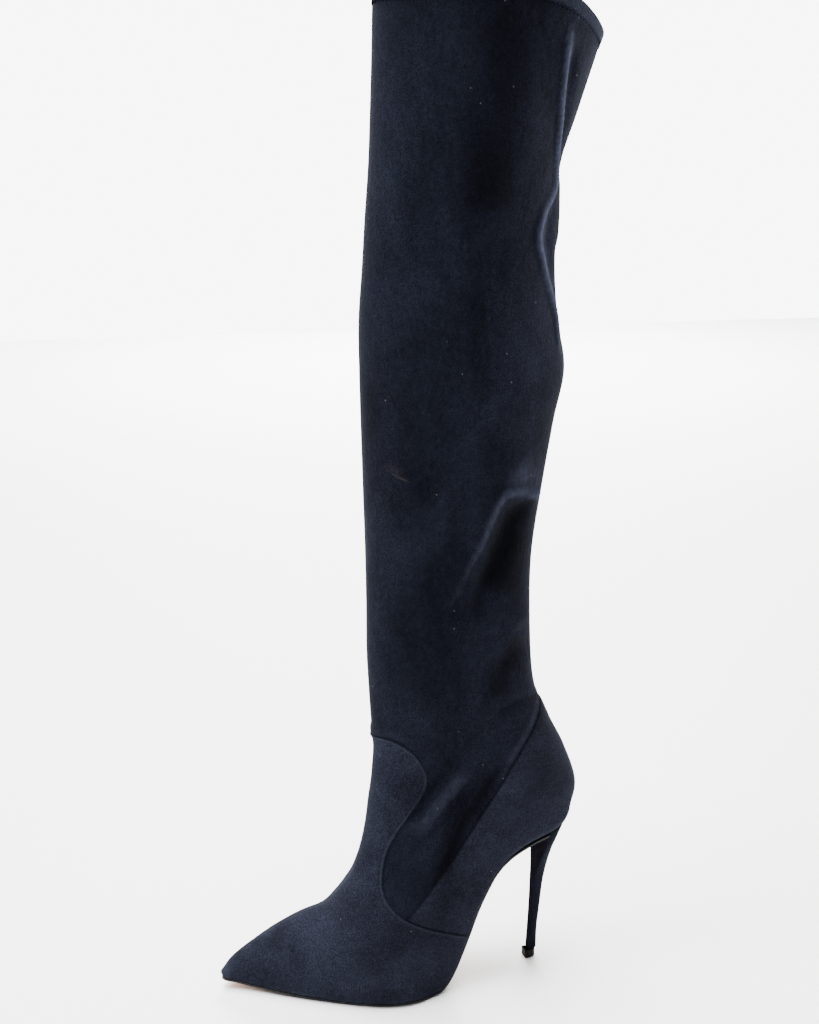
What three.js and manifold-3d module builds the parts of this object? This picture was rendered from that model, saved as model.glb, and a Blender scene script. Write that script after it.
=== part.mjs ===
// A left over-the-knee boot with a pointed toe and a stiletto heel, in stretch suede.
// Millimetres, +Z up. The origin is the middle of the heel tip's foot on the floor.
// The toe points to -Y, and +X is the outer side of the leg.
import * as THREE from "three";
import { mergeVertices } from "three/addons/utils/BufferGeometryUtils.js";
import Module from "manifold-3d";

const wasm = await Module();
wasm.setup();

// Driving dimensions of the last
const footLength = 245; // back of the seat to the toe tip, along the floor
const heelHeight = 104; // floor to the underside of the sole at the back of the seat
const heelSet = 28; // heel tip's middle, forward of the back of the seat
const ballWidth = 82; // foot at the ball, at its widest
const jointHeight = 50; // top of the foot over the sole, ahead of the ball
const toeSpring = 6; // underside of the toe tip over the floor
const toeSwing = 14.5; // toe tip towards the big toe, from the heel's middle line
const tabHeight = 180; // top of the vamp's tab over the floor

// Driving dimensions of the leg
const shaftHeight = 549; // heel seat to the collar's front
const collarDip = 27; // collar's back under its front
const ankle = { depth: 112, width: 70 }; // front to back, and side to side
const calf = { depth: 134, width: 94 };
const collar = { depth: 150, width: 104 };
const legSet = 82; // leg's middle line, forward of the back of the seat

// Driving dimensions of the layers
const wall = 1.5; // stretch suede with its lining
const overlay = 1.1; // suede of the vamp and the counter
const hemHeight = 9.5; // turned-in hem at the collar
const hemThickness = 1.2;
const soleThickness = 2.2;
const soleRim = 0.8; // how far the outsole stands out round the upper
const insoleThickness = 1.8;
const gap = 0.3; // between pieces that meet

// Driving dimensions of the heel
const stemWidth = 7.4; // heel at its thinnest, side to side
const topWidth = 41; // heel under the seat, side to side
const heelDepth = 19; // heel under the seat, front to back
const heelLean = 7.4; // how far the breast moves back, from the floor to the seat
const tipHeight = 6;
const tipSize = 8.2;

// Fineness of the facets
const loopsPerRow = 1.25; // sections made for each row of the tables
const pointsAround = 32;
const lineSteps = 44; // points along the sole's line
const collarSteps = 24; // points along the collar's edge
const underShare = 0.09; // how far each section reaches on under the sole's line, before that line cuts it

const fromBack = (share) => heelSet - share * footLength;
const place = (along, up) => new THREE.Vector2(fromBack(along), up);

// The underside of the sole seen from the side: seat, shank, flat tread and toe spring
const shankMiddle = place(0.267, 0.665 * heelHeight);
const treadStart = place(0.423, 0);
const treadEnd = place(0.701, 0);
const soleLine = new THREE.CurvePath();
soleLine.add(
  new THREE.CubicBezierCurve(
    place(0, heelHeight),
    place(0.111, 0.982 * heelHeight),
    place(0.238, 0.866 * heelHeight),
    shankMiddle,
  ),
);
soleLine.add(
  new THREE.CubicBezierCurve(shankMiddle, place(0.324, 0.382 * heelHeight), place(0.366, 0), treadStart),
);
soleLine.add(new THREE.LineCurve(treadStart, treadEnd));
soleLine.add(new THREE.QuadraticBezierCurve(treadEnd, place(0.875, 0), place(1.02, 1.15 * toeSpring)));
const curveCount = soleLine.curves.length;

// Points along the sole's line, moved up from it by a distance square to the line
function soleLevel(up) {
  const level = [];
  for (const curve of soleLine.curves) {
    const steps = lineSteps / curveCount;
    for (let i = level.length ? 1 : 0; i <= steps; i++) {
      const at = curve.getPoint(i / steps);
      const along = curve.getTangent(i / steps);
      level.push(new THREE.Vector2(at.x + along.y * up, at.y - along.x * up));
    }
  }
  return level;
}

// Height of the sole's underside at a place along the foot
const underside = soleLevel(0);
function soleAt(y) {
  const i = Math.max(1, underside.findIndex((p) => p.x <= y));
  const [before, after] = [underside[i - 1], underside[i]];
  return THREE.MathUtils.lerp(before.y, after.y, (before.x - y) / (before.x - after.x));
}

// Sections of the foot, from the toe tip to the back of the heel. Each is a slanting cut from its top,
// on the vamp or the instep, to the sole. top and sole are shares of the foot's length, from the back.
// The top's height is lift times the heel's height and rise times the joint's height. swing is a share
// of the toe's swing, and half is half the width as a share of the ball's width. widest is how far up
// the section that is. crown and edge say how square it is over and under there: 2 is an ellipse.
const footRows = [
  { top: 0.999, lift: 0, rise: 0.24, sole: 0.998, swing: 0.95,
    half: 0, widest: 0.5, crown: 2, edge: 2 },
  { top: 0.986, lift: 0, rise: 0.28, sole: 0.991, swing: 1.01,
    half: 0.053, widest: 0.45, crown: 2, edge: 2.3 },
  { top: 0.96, lift: 0, rise: 0.4, sole: 0.968, swing: 1.08,
    half: 0.095, widest: 0.4, crown: 2, edge: 2.8 },
  { top: 0.913, lift: 0, rise: 0.56, sole: 0.92, swing: 1.03,
    half: 0.166, widest: 0.34, crown: 1.95, edge: 3.3 },
  { top: 0.84, lift: 0, rise: 0.79, sole: 0.845, swing: 0.84,
    half: 0.274, widest: 0.3, crown: 1.9, edge: 3.5 },
  { top: 0.768, lift: 0, rise: 0.98, sole: 0.76, swing: 0.57,
    half: 0.373, widest: 0.28, crown: 1.85, edge: 3.6 },
  { top: 0.71, lift: 0.02, rise: 1.08, sole: 0.665, swing: 0.18,
    half: 0.449, widest: 0.27, crown: 1.85, edge: 3.6 },
  { top: 0.676, lift: 0.06, rise: 1.22, sole: 0.575, swing: -0.14,
    half: 0.492, widest: 0.28, crown: 1.85, edge: 3.6 },
  { top: 0.648, lift: 0.15, rise: 1.28, sole: 0.49, swing: -0.34,
    half: 0.477, widest: 0.3, crown: 1.85, edge: 3.6 },
  { top: 0.624, lift: 0.27, rise: 1.27, sole: 0.425, swing: -0.34,
    half: 0.422, widest: 0.33, crown: 1.9, edge: 3.5 },
  { top: 0.609, lift: 0.4, rise: 1.23, sole: 0.372, swing: -0.28,
    half: 0.38, widest: 0.36, crown: 1.9, edge: 3.5 },
  { top: 0.596, lift: 0.53, rise: 1.25, sole: 0.325, swing: -0.21,
    half: 0.36, widest: 0.38, crown: 1.9, edge: 3.7 },
  { top: 0.587, lift: 0.65, rise: 1.3, sole: 0.275, swing: -0.15,
    half: 0.357, widest: 0.4, crown: 1.95, edge: 3.9 },
  { top: 0.578, lift: 0.76, rise: 1.34, sole: 0.2, swing: -0.09,
    half: 0.358, widest: 0.42, crown: 1.95, edge: 4 },
  { top: 0.573, lift: 0.86, rise: 1.37, sole: 0.107, swing: -0.05,
    half: 0.366, widest: 0.43, crown: 2, edge: 3.4 },
  { top: 0.57, lift: 0.93, rise: 1.38, sole: 0.024, swing: 0,
    half: 0.38, widest: 0.44, crown: 2, edge: 2.35 },
];

// Sections of the heel's back and the leg, as shares of the depth and width at one of three places.
// front and back are in front of and behind the leg's middle line. frontUp and backUp are shares of
// the shaft's height.
const legRows = [
  { at: ankle, front: 0.516, frontUp: 0.122, back: 0.715, backUp: 0.014, half: 0.453, widest: 0.45 },
  { at: ankle, front: 0.536, frontUp: 0.145, back: 0.742, backUp: 0.05, half: 0.467, widest: 0.46 },
  { at: ankle, front: 0.545, frontUp: 0.171, back: 0.66, backUp: 0.098, half: 0.479, widest: 0.47 },
  { at: ankle, front: 0.553, frontUp: 0.202, back: 0.556, backUp: 0.14, half: 0.493, widest: 0.49 },
  { at: ankle, front: 0.561, frontUp: 0.238, back: 0.463, backUp: 0.193, half: 0.5, widest: 0.5 },
  { at: ankle, front: 0.561, frontUp: 0.293, back: 0.434, backUp: 0.284, half: 0.514, widest: 0.5 },
  { at: calf, front: 0.472, frontUp: 0.36, back: 0.367, backUp: 0.358, half: 0.415, widest: 0.5 },
  { at: calf, front: 0.48, frontUp: 0.437, back: 0.412, backUp: 0.437, half: 0.457, widest: 0.5 },
  { at: calf, front: 0.488, frontUp: 0.513, back: 0.463, backUp: 0.513, half: 0.495, widest: 0.5 },
  { at: calf, front: 0.494, frontUp: 0.575, back: 0.513, backUp: 0.575, half: 0.5, widest: 0.5 },
  { at: calf, front: 0.495, frontUp: 0.634, back: 0.473, backUp: 0.634, half: 0.489, widest: 0.5 },
  { at: calf, front: 0.477, frontUp: 0.694, back: 0.453, backUp: 0.694, half: 0.489, widest: 0.5 },
  { at: collar, front: 0.413, frontUp: 0.748, back: 0.41, backUp: 0.748, half: 0.457, widest: 0.5 },
  { at: collar, front: 0.396, frontUp: 0.808, back: 0.417, backUp: 0.808, half: 0.471, widest: 0.5 },
  { at: collar, front: 0.387, frontUp: 0.867, back: 0.488, backUp: 0.867, half: 0.486, widest: 0.5 },
  { at: collar, front: 0.379, frontUp: 0.938, back: 0.577, backUp: 0.938, half: 0.495, widest: 0.5 },
  { at: collar, front: 0.375, frontUp: 1.023, back: 0.689, backUp: 1.023, half: 0.5, widest: 0.5 },
];

// The vamp's side seam, an S from the top of its tab to the sole's edge under the arch. along is a share
// of the foot's length from the back, and up is a share of the tab's height.
const vampSeam = [
  { along: 0.62, up: 0.99 },
  { along: 0.556, up: 0.997 },
  { along: 0.521, up: 0.984 },
  { along: 0.486, up: 0.948 },
  { along: 0.462, up: 0.9 },
  { along: 0.451, up: 0.853 },
  { along: 0.459, up: 0.8 },
  { along: 0.492, up: 0.728 },
  { along: 0.529, up: 0.656 },
  { along: 0.556, up: 0.582 },
  { along: 0.571, up: 0.511 },
  { along: 0.578, up: 0.444 },
  { along: 0.57, up: 0.394 },
  { along: 0.547, up: 0.349 },
  { along: 0.51, up: 0.309 },
  { along: 0.454, up: 0.271 },
  { along: 0.394, up: 0.24 },
  { along: 0.344, up: 0.212 },
  { along: 0.28, up: 0.165 },
];

// The counter's front seam, from the back of the leg down to the vamp's seam
const counterSeam = [
  { along: 0.065, up: 1.172 },
  { along: 0.106, up: 1.097 },
  { along: 0.145, up: 1.025 },
  { along: 0.175, up: 0.975 },
  { along: 0.199, up: 0.93 },
  { along: 0.223, up: 0.88 },
  { along: 0.253, up: 0.81 },
  { along: 0.286, up: 0.738 },
  { along: 0.317, up: 0.672 },
  { along: 0.349, up: 0.608 },
  { along: 0.382, up: 0.54 },
  { along: 0.427, up: 0.46 },
  { along: 0.475, up: 0.38 },
  { along: 0.54, up: 0.29 },
];

// The collar's edge seen from the side. ahead is a share of the collar's depth, from the leg's middle
// line, and dip is a share of the collar's dip.
const collarLine = [
  { ahead: 0.6, dip: 0 },
  { ahead: 0.04, dip: 0 },
  { ahead: -0.193, dip: 0.05 },
  { ahead: -0.327, dip: 0.18 },
  { ahead: -0.408, dip: 0.35 },
  { ahead: -0.473, dip: 0.57 },
  { ahead: -0.572, dip: 0.93 },
  { ahead: -0.75, dip: 1.5 },
];

// The heel's sections, from the tip up into the seat. up is a share of the heel's height, breast a share
// of the lean, back a share of the heel's depth behind the breast, and half a share of the top's width.
const heelRows = [
  { up: 0, breast: 0.02, back: 0.36, half: 0.09 },
  { up: 0.2, breast: 0.18, back: 0.32, half: 0.09 },
  { up: 0.32, breast: 0.28, back: 0.345, half: 0.096 },
  { up: 0.43, breast: 0.36, back: 0.375, half: 0.106 },
  { up: 0.55, breast: 0.45, back: 0.41, half: 0.13 },
  { up: 0.66, breast: 0.59, back: 0.46, half: 0.185 },
  { up: 0.76, breast: 0.76, back: 0.495, half: 0.29 },
  { up: 0.84, breast: 0.88, back: 0.53, half: 0.4 },
  { up: 0.9, breast: 0.95, back: 0.61, half: 0.475 },
  { up: 0.96, breast: 0.98, back: 0.77, half: 0.5 },
  { up: 1, breast: 1, back: 0.88, half: 0.5 },
  { up: 1.06, breast: 1.02, back: 1, half: 0.5 },
];

const seatLevel = heelHeight + soleThickness;
const legMiddle = heelSet - legSet;
const collarTop = seatLevel + shaftHeight;

// Every section as places in the side view, with its half width and shape
const sections = [
  ...footRows.map((row) => {
    const bottomY = fromBack(row.sole);
    const topZ = row.lift * heelHeight + row.rise * jointHeight;
    return {
      topY: fromBack(row.top),
      topZ,
      bottomY,
      bottomZ: soleAt(bottomY) - underShare * (topZ - soleAt(bottomY)),
      middle: -row.swing * toeSwing,
      half: row.half * ballWidth,
      widest: row.widest,
      crown: row.crown,
      edge: row.edge,
    };
  }),
  ...legRows.map((row) => ({
    topY: legMiddle - row.front * row.at.depth,
    topZ: seatLevel + row.frontUp * shaftHeight,
    bottomY: legMiddle + row.back * row.at.depth,
    bottomZ: seatLevel + row.backUp * shaftHeight,
    middle: 0,
    half: row.half * row.at.width,
    widest: row.widest,
    crown: 2,
    edge: 2,
  })),
];
const lastRow = sections.length - 1;

// A value on a smooth curve through four neighbours, between the second and the third
function smooth([a, b, c, d], f) {
  const bend = 2 * a - 5 * b + 4 * c - d;
  const twist = 3 * (b - c) + d - a;
  return b + 0.5 * f * (c - a + f * (bend + f * twist));
}

// A row between two rows of a table
function rowAt(rows, t) {
  const last = rows.length - 1;
  const i = Math.min(Math.floor(t), last - 1);
  const near = [i - 1, i, i + 1, i + 2].map((k) => rows[THREE.MathUtils.clamp(k, 0, last)]);
  const mixed = {};
  for (const key of Object.keys(near[1])) {
    mixed[key] = smooth(near.map((row) => row[key]), t - i);
  }
  return mixed;
}

// A point on the form: t counts the table's rows, and turn goes from the front over the outer side to
// the back and round, 0 to 1
function formPoint(t, turn) {
  const s = rowAt(sections, t);
  const across = Math.sin(2 * Math.PI * turn);
  const up = Math.cos(2 * Math.PI * turn);
  const power = 2 / (up > 0 ? s.crown : s.edge);
  const reach = up > 0 ? 1 - s.widest : s.widest;
  const share = s.widest + Math.sign(up) * Math.abs(up) ** power * reach;
  return new THREE.Vector3(
    s.middle + s.half * Math.sign(across) * Math.abs(across) ** power,
    THREE.MathUtils.lerp(s.bottomY, s.topY, share),
    THREE.MathUtils.lerp(s.bottomZ, s.topZ, share),
  );
}

// The way out of the form at a point
function formNormal(t, turn) {
  const step = 0.02;
  const ahead = formPoint(Math.min(t + step, lastRow), turn);
  const behind = formPoint(Math.max(t - step, step / 2), turn);
  const around = formPoint(t, turn + step).sub(formPoint(t, turn - step));
  return around.cross(ahead.sub(behind)).normalize();
}

// A closed body from a geometry, with each corner shared by its faces
function solid(geometry) {
  geometry.deleteAttribute("normal");
  geometry.deleteAttribute("uv");
  const merged = mergeVertices(geometry, 1e-3);
  const triVerts = new Uint32Array(merged.index.array);
  return new wasm.Manifold(
    new wasm.Mesh({ numProp: 3, vertProperties: merged.attributes.position.array, triVerts }),
  );
}

// A closed body through loops of corners, with a fan at each end
function skinned(loops, firstMiddle, lastMiddle) {
  const around = loops[0].length;
  const places = [firstMiddle, ...loops.flat(), lastMiddle];
  const corner = (i, j) => 1 + i * around + (j % around);
  const faces = [];
  const last = loops.length - 1;
  for (let j = 0; j < around; j++) {
    faces.push(0, corner(0, j + 1), corner(0, j));
    faces.push(places.length - 1, corner(last, j), corner(last, j + 1));
    for (let i = 0; i < last; i++) {
      faces.push(corner(i, j), corner(i + 1, j + 1), corner(i + 1, j));
      faces.push(corner(i, j), corner(i, j + 1), corner(i + 1, j + 1));
    }
  }
  return solid(new THREE.BufferGeometry().setFromPoints(places).setIndex(faces));
}

// The whole boot as one closed form, grown outwards by a distance
function form(grow) {
  const count = Math.round(lastRow * loopsPerRow);
  const loops = [];
  for (let i = 1; i <= count; i++) {
    const t = (i / count) * lastRow;
    const loop = [];
    for (let j = 0; j < pointsAround; j++) {
      const turn = j / pointsAround;
      loop.push(formPoint(t, turn).addScaledVector(formNormal(t, turn), grow));
    }
    loops.push(loop);
  }
  const tip = formPoint(0, 0).add(new THREE.Vector3(0, -grow, 0));
  const lid = formPoint(lastRow, 0).add(formPoint(lastRow, 0.5)).multiplyScalar(0.5);
  return skinned(loops, tip, lid);
}

// A side-view shape run right through the boot from side to side
const sideReach = collar.width;
const sideways = new THREE.Matrix4().makeBasis(
  new THREE.Vector3(0, 1, 0),
  new THREE.Vector3(0, 0, 1),
  new THREE.Vector3(1, 0, 0),
);
function through(outline) {
  const shape = new THREE.Shape(outline);
  const geometry = new THREE.ExtrudeGeometry(shape, { depth: 2 * sideReach, bevelEnabled: false });
  return solid(geometry.translate(0, 0, -sideReach).applyMatrix4(sideways));
}

// The slice between two heights over the sole's line, and all that lies below one
const slice = (low, high) => through([...soleLevel(low), ...soleLevel(high).reverse()]);
const farFloor = -0.15 * heelHeight;
function below(up) {
  const level = soleLevel(up);
  const behind = place(-0.3, level[0].y + 0.09 * footLength);
  const ahead = place(1.2, level[level.length - 1].y + 0.5 * toeSpring);
  return through([behind, ...level, ahead, place(1.2, farFloor), place(-0.3, farFloor)]);
}

// Points on a seam, moved to its rear side by a distance
function seamPoints(rows, aside) {
  const curve = new THREE.SplineCurve(rows.map((row) => place(row.along, row.up * tabHeight)));
  const steps = 2 * (rows.length - 1);
  const points = [];
  for (let i = 0; i <= steps; i++) {
    const along = curve.getTangent(i / steps);
    const at = curve.getPoint(i / steps);
    points.push(new THREE.Vector2(at.x - along.y * aside, at.y + along.x * aside));
  }
  return points;
}

// The vamp's side of its seam, and the counter's side of its own
const vampSide = (aside) =>
  through([
    place(1.2, 1.1 * tabHeight),
    ...seamPoints(vampSeam, aside),
    place(0.28, farFloor),
    place(1.2, farFloor),
  ]);
const counterSide = through([
  ...seamPoints(counterSeam, 0),
  place(0.54, farFloor),
  place(-0.3, farFloor),
  place(-0.3, 1.2 * tabHeight),
]);

const outerForm = form(0);
const upperBottom = soleThickness + gap;
const underUpper = below(upperBottom);

// All above a line that follows the collar, lowered by a distance
function overCollar(lower) {
  const line = collarLine.map((row) => {
    const y = legMiddle - row.ahead * collar.depth;
    return new THREE.Vector2(y, collarTop - row.dip * collarDip - lower);
  });
  const edge = new THREE.SplineCurve(line).getPoints(collarSteps);
  const high = collarTop + collar.depth;
  return through([...edge, new THREE.Vector2(edge[collarSteps].x, high), new THREE.Vector2(edge[0].x, high)]);
}
const aboveCollar = overCollar(0);

// Upper, a sock open at the collar and underneath
const upper = outerForm.subtract(form(-wall)).subtract(underUpper).subtract(aboveCollar);

// Vamp and counter, skins on the upper
const skin = form(gap + overlay).subtract(form(gap)).subtract(underUpper);
const vamp = skin.intersect(vampSide(0));
const counter = skin.intersect(counterSide).subtract(vampSide(gap));

// Turned-in hem, a band inside the collar
const band = form(-wall - gap).subtract(form(-wall - gap - hemThickness));
const hem = band.intersect(overCollar(hemHeight)).subtract(aboveCollar);

// Outsole, from the heel's breast to the toe
const breastTop = heelLean - 0.02 * heelHeight;
const aheadOfHeel = through([
  new THREE.Vector2(breastTop - gap, farFloor),
  new THREE.Vector2(breastTop - gap, 1.2 * heelHeight),
  place(1.2, 1.2 * heelHeight),
  place(1.2, farFloor),
]);
const outsole = slice(0, soleThickness).intersect(form(soleRim)).intersect(aheadOfHeel);

// Insole, inside the upper on the same level as its lower edge
const insole = slice(upperBottom, upperBottom + insoleThickness).intersect(form(-wall - gap));

// A D-shaped section of the heel, with its flat side on the breast
const dSteps = 12;
function dShape(breast, depth, half, z) {
  const loop = [];
  for (let j = 0; j <= dSteps; j++) {
    const turn = (j / dSteps) * Math.PI;
    loop.push(new THREE.Vector3(half * Math.cos(turn), breast + depth * Math.sin(turn), z));
  }
  return loop;
}

// Heel, cut on top by the seat
const stemFront = -0.28 * stemWidth;
const heelLoops = [];
for (let t = 0; t < heelRows.length - 1; t += 0.5) {
  const row = rowAt(heelRows, t);
  const z = Math.max(tipHeight + gap, row.up * heelHeight);
  const breast = stemFront + row.breast * heelLean;
  heelLoops.push(dShape(breast, row.back * heelDepth, row.half * topWidth, z));
}
const middleOf = (loop) => new THREE.Vector3(0, (loop[0].y + loop[dSteps / 2].y) / 2, loop[0].z);
const topLoop = heelLoops[heelLoops.length - 1];
const heelForm = skinned(heelLoops, middleOf(heelLoops[0]), middleOf(topLoop));
const heel = heelForm.intersect(below(soleThickness));

// Heel tip, a small D-shaped block on the floor
const tipLoops = [0, tipHeight].map((z) => dShape(-tipSize / 2, tipSize, tipSize / 2, z));
const tip = skinned(tipLoops, middleOf(tipLoops[0]), middleOf(tipLoops[1]));

const materials = {
  stretch: new THREE.MeshStandardMaterial({ color: 0x1a1d28, roughness: 0.95, metalness: 0 }),
  suede: new THREE.MeshStandardMaterial({ color: 0x20242f, roughness: 0.95, metalness: 0 }),
  sole: new THREE.MeshStandardMaterial({ color: 0x17171a, roughness: 0.5, metalness: 0 }),
  lining: new THREE.MeshStandardMaterial({ color: 0x2a2b30, roughness: 0.8, metalness: 0 }),
  rubber: new THREE.MeshStandardMaterial({ color: 0x141213, roughness: 0.6, metalness: 0 }),
};

function node(name, body, material) {
  const made = body.getMesh();
  const geometry = new THREE.BufferGeometry()
    .setAttribute("position", new THREE.BufferAttribute(made.vertProperties, 3))
    .setIndex(new THREE.BufferAttribute(made.triVerts, 1));
  geometry.computeVertexNormals();
  const mesh = new THREE.Mesh(geometry, material);
  mesh.name = name;
  return mesh;
}

const boot = new THREE.Group();
boot.name = "boot";
boot.add(node("upper", upper, materials.stretch));
boot.add(node("vamp", vamp, materials.suede));
boot.add(node("counter", counter, materials.suede));
boot.add(node("collar_hem", hem, materials.stretch));
boot.add(node("outsole", outsole, materials.sole));
boot.add(node("insole", insole, materials.lining));
boot.add(node("heel", heel, materials.suede));
boot.add(node("heel_tip", tip, materials.rubber));

export default boot;
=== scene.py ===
"""The looks of a left over-the-knee boot: stretch suede leg, suede vamp and counter, stiletto heel.

Metres, +Z up. The heel tip stands at the origin, the toe points to -Y, and +X is the leg's outer side.
Every panel starts as a flat pattern of columns round the boot and rows along it. It is scored and cut
along its seams, then pulled over the last and given its thickness.
"""

import math

import bmesh
import bpy
import numpy as np
from bpy.props import FloatProperty, FloatVectorProperty, PointerProperty
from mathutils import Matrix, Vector


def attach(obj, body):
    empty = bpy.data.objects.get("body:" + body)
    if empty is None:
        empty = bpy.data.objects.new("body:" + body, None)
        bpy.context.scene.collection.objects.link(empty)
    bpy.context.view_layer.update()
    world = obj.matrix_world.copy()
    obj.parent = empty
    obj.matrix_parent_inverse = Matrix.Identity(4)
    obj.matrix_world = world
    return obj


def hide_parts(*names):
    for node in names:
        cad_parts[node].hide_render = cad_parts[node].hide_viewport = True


bl_info = {
    "name": "Over-the-knee stiletto boot",
    "version": (1, 0, 0),
    "blender": (4, 5, 0),
    "location": "3D View > Sidebar > Boot",
    "description": "Makes each piece of a stretch-suede boot with its finish",
    "category": "Object",
}

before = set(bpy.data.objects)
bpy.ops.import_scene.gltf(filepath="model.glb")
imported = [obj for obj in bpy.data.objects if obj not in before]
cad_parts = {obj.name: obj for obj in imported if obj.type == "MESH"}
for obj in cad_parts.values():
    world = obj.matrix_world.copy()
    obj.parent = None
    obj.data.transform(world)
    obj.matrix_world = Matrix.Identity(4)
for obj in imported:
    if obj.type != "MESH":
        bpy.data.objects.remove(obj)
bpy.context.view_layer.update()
MM = 0.001
TAU = 2 * math.pi

# Sections of the foot from the toe tip to the heel. Each is a slanting cut from its top to the sole.
# top and sole are shares of the foot's length from the back. The top is lift heel heights and rise
# joint heights up. swing, half, widest, crown and edge give its place and shape across.
FOOT_COLUMNS = ("top", "lift", "rise", "sole", "swing", "half", "widest", "crown", "edge")
FOOT = (
    (0.999, 0, 0.24, 0.998, 0.95, 0, 0.5, 2, 2),
    (0.986, 0, 0.28, 0.991, 1.01, 0.053, 0.45, 2, 2.3),
    (0.96, 0, 0.4, 0.968, 1.08, 0.095, 0.4, 2, 2.8),
    (0.913, 0, 0.56, 0.92, 1.03, 0.166, 0.34, 1.95, 3.3),
    (0.84, 0, 0.79, 0.845, 0.84, 0.274, 0.3, 1.9, 3.5),
    (0.768, 0, 0.98, 0.76, 0.57, 0.373, 0.28, 1.85, 3.6),
    (0.71, 0.02, 1.08, 0.665, 0.18, 0.449, 0.27, 1.85, 3.6),
    (0.676, 0.06, 1.22, 0.575, -0.14, 0.492, 0.28, 1.85, 3.6),
    (0.648, 0.15, 1.28, 0.49, -0.34, 0.477, 0.3, 1.85, 3.6),
    (0.624, 0.27, 1.27, 0.425, -0.34, 0.422, 0.33, 1.9, 3.5),
    (0.609, 0.4, 1.23, 0.372, -0.28, 0.38, 0.36, 1.9, 3.5),
    (0.596, 0.53, 1.25, 0.325, -0.21, 0.36, 0.38, 1.9, 3.7),
    (0.587, 0.65, 1.3, 0.275, -0.15, 0.357, 0.4, 1.95, 3.9),
    (0.578, 0.76, 1.34, 0.2, -0.09, 0.358, 0.42, 1.95, 4),
    (0.573, 0.86, 1.37, 0.107, -0.05, 0.366, 0.43, 2, 3.4),
    (0.57, 0.93, 1.38, 0.024, 0, 0.38, 0.44, 2, 2.35),
)

# Sections of the heel's back and the leg, as shares of the depth and width at the place named first.
LEG_COLUMNS = ("at", "front", "front_up", "back", "back_up", "half", "widest")
LEG = (
    ("ankle", 0.516, 0.122, 0.715, 0.014, 0.453, 0.45),
    ("ankle", 0.536, 0.145, 0.742, 0.05, 0.467, 0.46),
    ("ankle", 0.545, 0.171, 0.66, 0.098, 0.479, 0.47),
    ("ankle", 0.553, 0.202, 0.556, 0.14, 0.493, 0.49),
    ("ankle", 0.561, 0.238, 0.463, 0.193, 0.5, 0.5),
    ("ankle", 0.561, 0.293, 0.434, 0.284, 0.514, 0.5),
    ("calf", 0.472, 0.36, 0.367, 0.358, 0.415, 0.5),
    ("calf", 0.48, 0.437, 0.412, 0.437, 0.457, 0.5),
    ("calf", 0.488, 0.513, 0.463, 0.513, 0.495, 0.5),
    ("calf", 0.494, 0.575, 0.513, 0.575, 0.5, 0.5),
    ("calf", 0.495, 0.634, 0.473, 0.634, 0.489, 0.5),
    ("calf", 0.477, 0.694, 0.453, 0.694, 0.489, 0.5),
    ("collar", 0.413, 0.748, 0.41, 0.748, 0.457, 0.5),
    ("collar", 0.396, 0.808, 0.417, 0.808, 0.471, 0.5),
    ("collar", 0.387, 0.867, 0.488, 0.867, 0.486, 0.5),
    ("collar", 0.379, 0.938, 0.577, 0.938, 0.495, 0.5),
    ("collar", 0.375, 1.023, 0.689, 1.023, 0.5, 0.5),
)

# Seams seen from the side: along is a share of the foot's length from the back, and up is a share of
# the tab's height.
VAMP_SEAM = (
    (0.62, 0.99),
    (0.556, 0.997),
    (0.521, 0.984),
    (0.486, 0.948),
    (0.462, 0.9),
    (0.451, 0.853),
    (0.459, 0.8),
    (0.492, 0.728),
    (0.529, 0.656),
    (0.556, 0.582),
    (0.571, 0.511),
    (0.578, 0.444),
    (0.57, 0.394),
    (0.547, 0.349),
    (0.51, 0.309),
    (0.454, 0.271),
    (0.394, 0.24),
    (0.344, 0.212),
    (0.28, 0.165),
)
COUNTER_SEAM = (
    (0.065, 1.172),
    (0.106, 1.097),
    (0.145, 1.025),
    (0.175, 0.975),
    (0.199, 0.93),
    (0.223, 0.88),
    (0.253, 0.81),
    (0.286, 0.738),
    (0.317, 0.672),
    (0.349, 0.608),
    (0.382, 0.54),
    (0.427, 0.46),
    (0.475, 0.38),
    (0.54, 0.29),
)

# The collar's edge: ahead is a share of the collar's depth from the leg's middle line, and dip a share
# of the collar's dip.
COLLAR_LINE = (
    (0.6, 0),
    (0.04, 0),
    (-0.193, 0.05),
    (-0.327, 0.18),
    (-0.408, 0.35),
    (-0.473, 0.57),
    (-0.572, 0.93),
    (-0.75, 1.5),
)

# The heel's sections: up is a share of the heel's height, breast of the lean, back of the heel's depth
# behind the breast, and half of the top's width.
HEEL_ROWS = (
    (0, 0.02, 0.36, 0.09),
    (0.2, 0.18, 0.32, 0.09),
    (0.32, 0.28, 0.345, 0.096),
    (0.43, 0.36, 0.375, 0.106),
    (0.55, 0.45, 0.41, 0.13),
    (0.66, 0.59, 0.46, 0.185),
    (0.76, 0.76, 0.495, 0.29),
    (0.84, 0.88, 0.53, 0.4),
    (0.9, 0.95, 0.61, 0.475),
    (0.96, 0.98, 0.77, 0.5),
    (1, 1, 0.88, 0.5),
    (1.06, 1.02, 1, 0.5),
)

# Smears on the front of the calf: middle and half sizes in mm, slope in degrees, and share of tan.
SMEARS = (((30, -101.8, 358.7), (20, 6.2, 1.0), -25, 0.28), ((28, -105.5, 363.6), (20, 7, 3.6), -15, 0.07))

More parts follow.
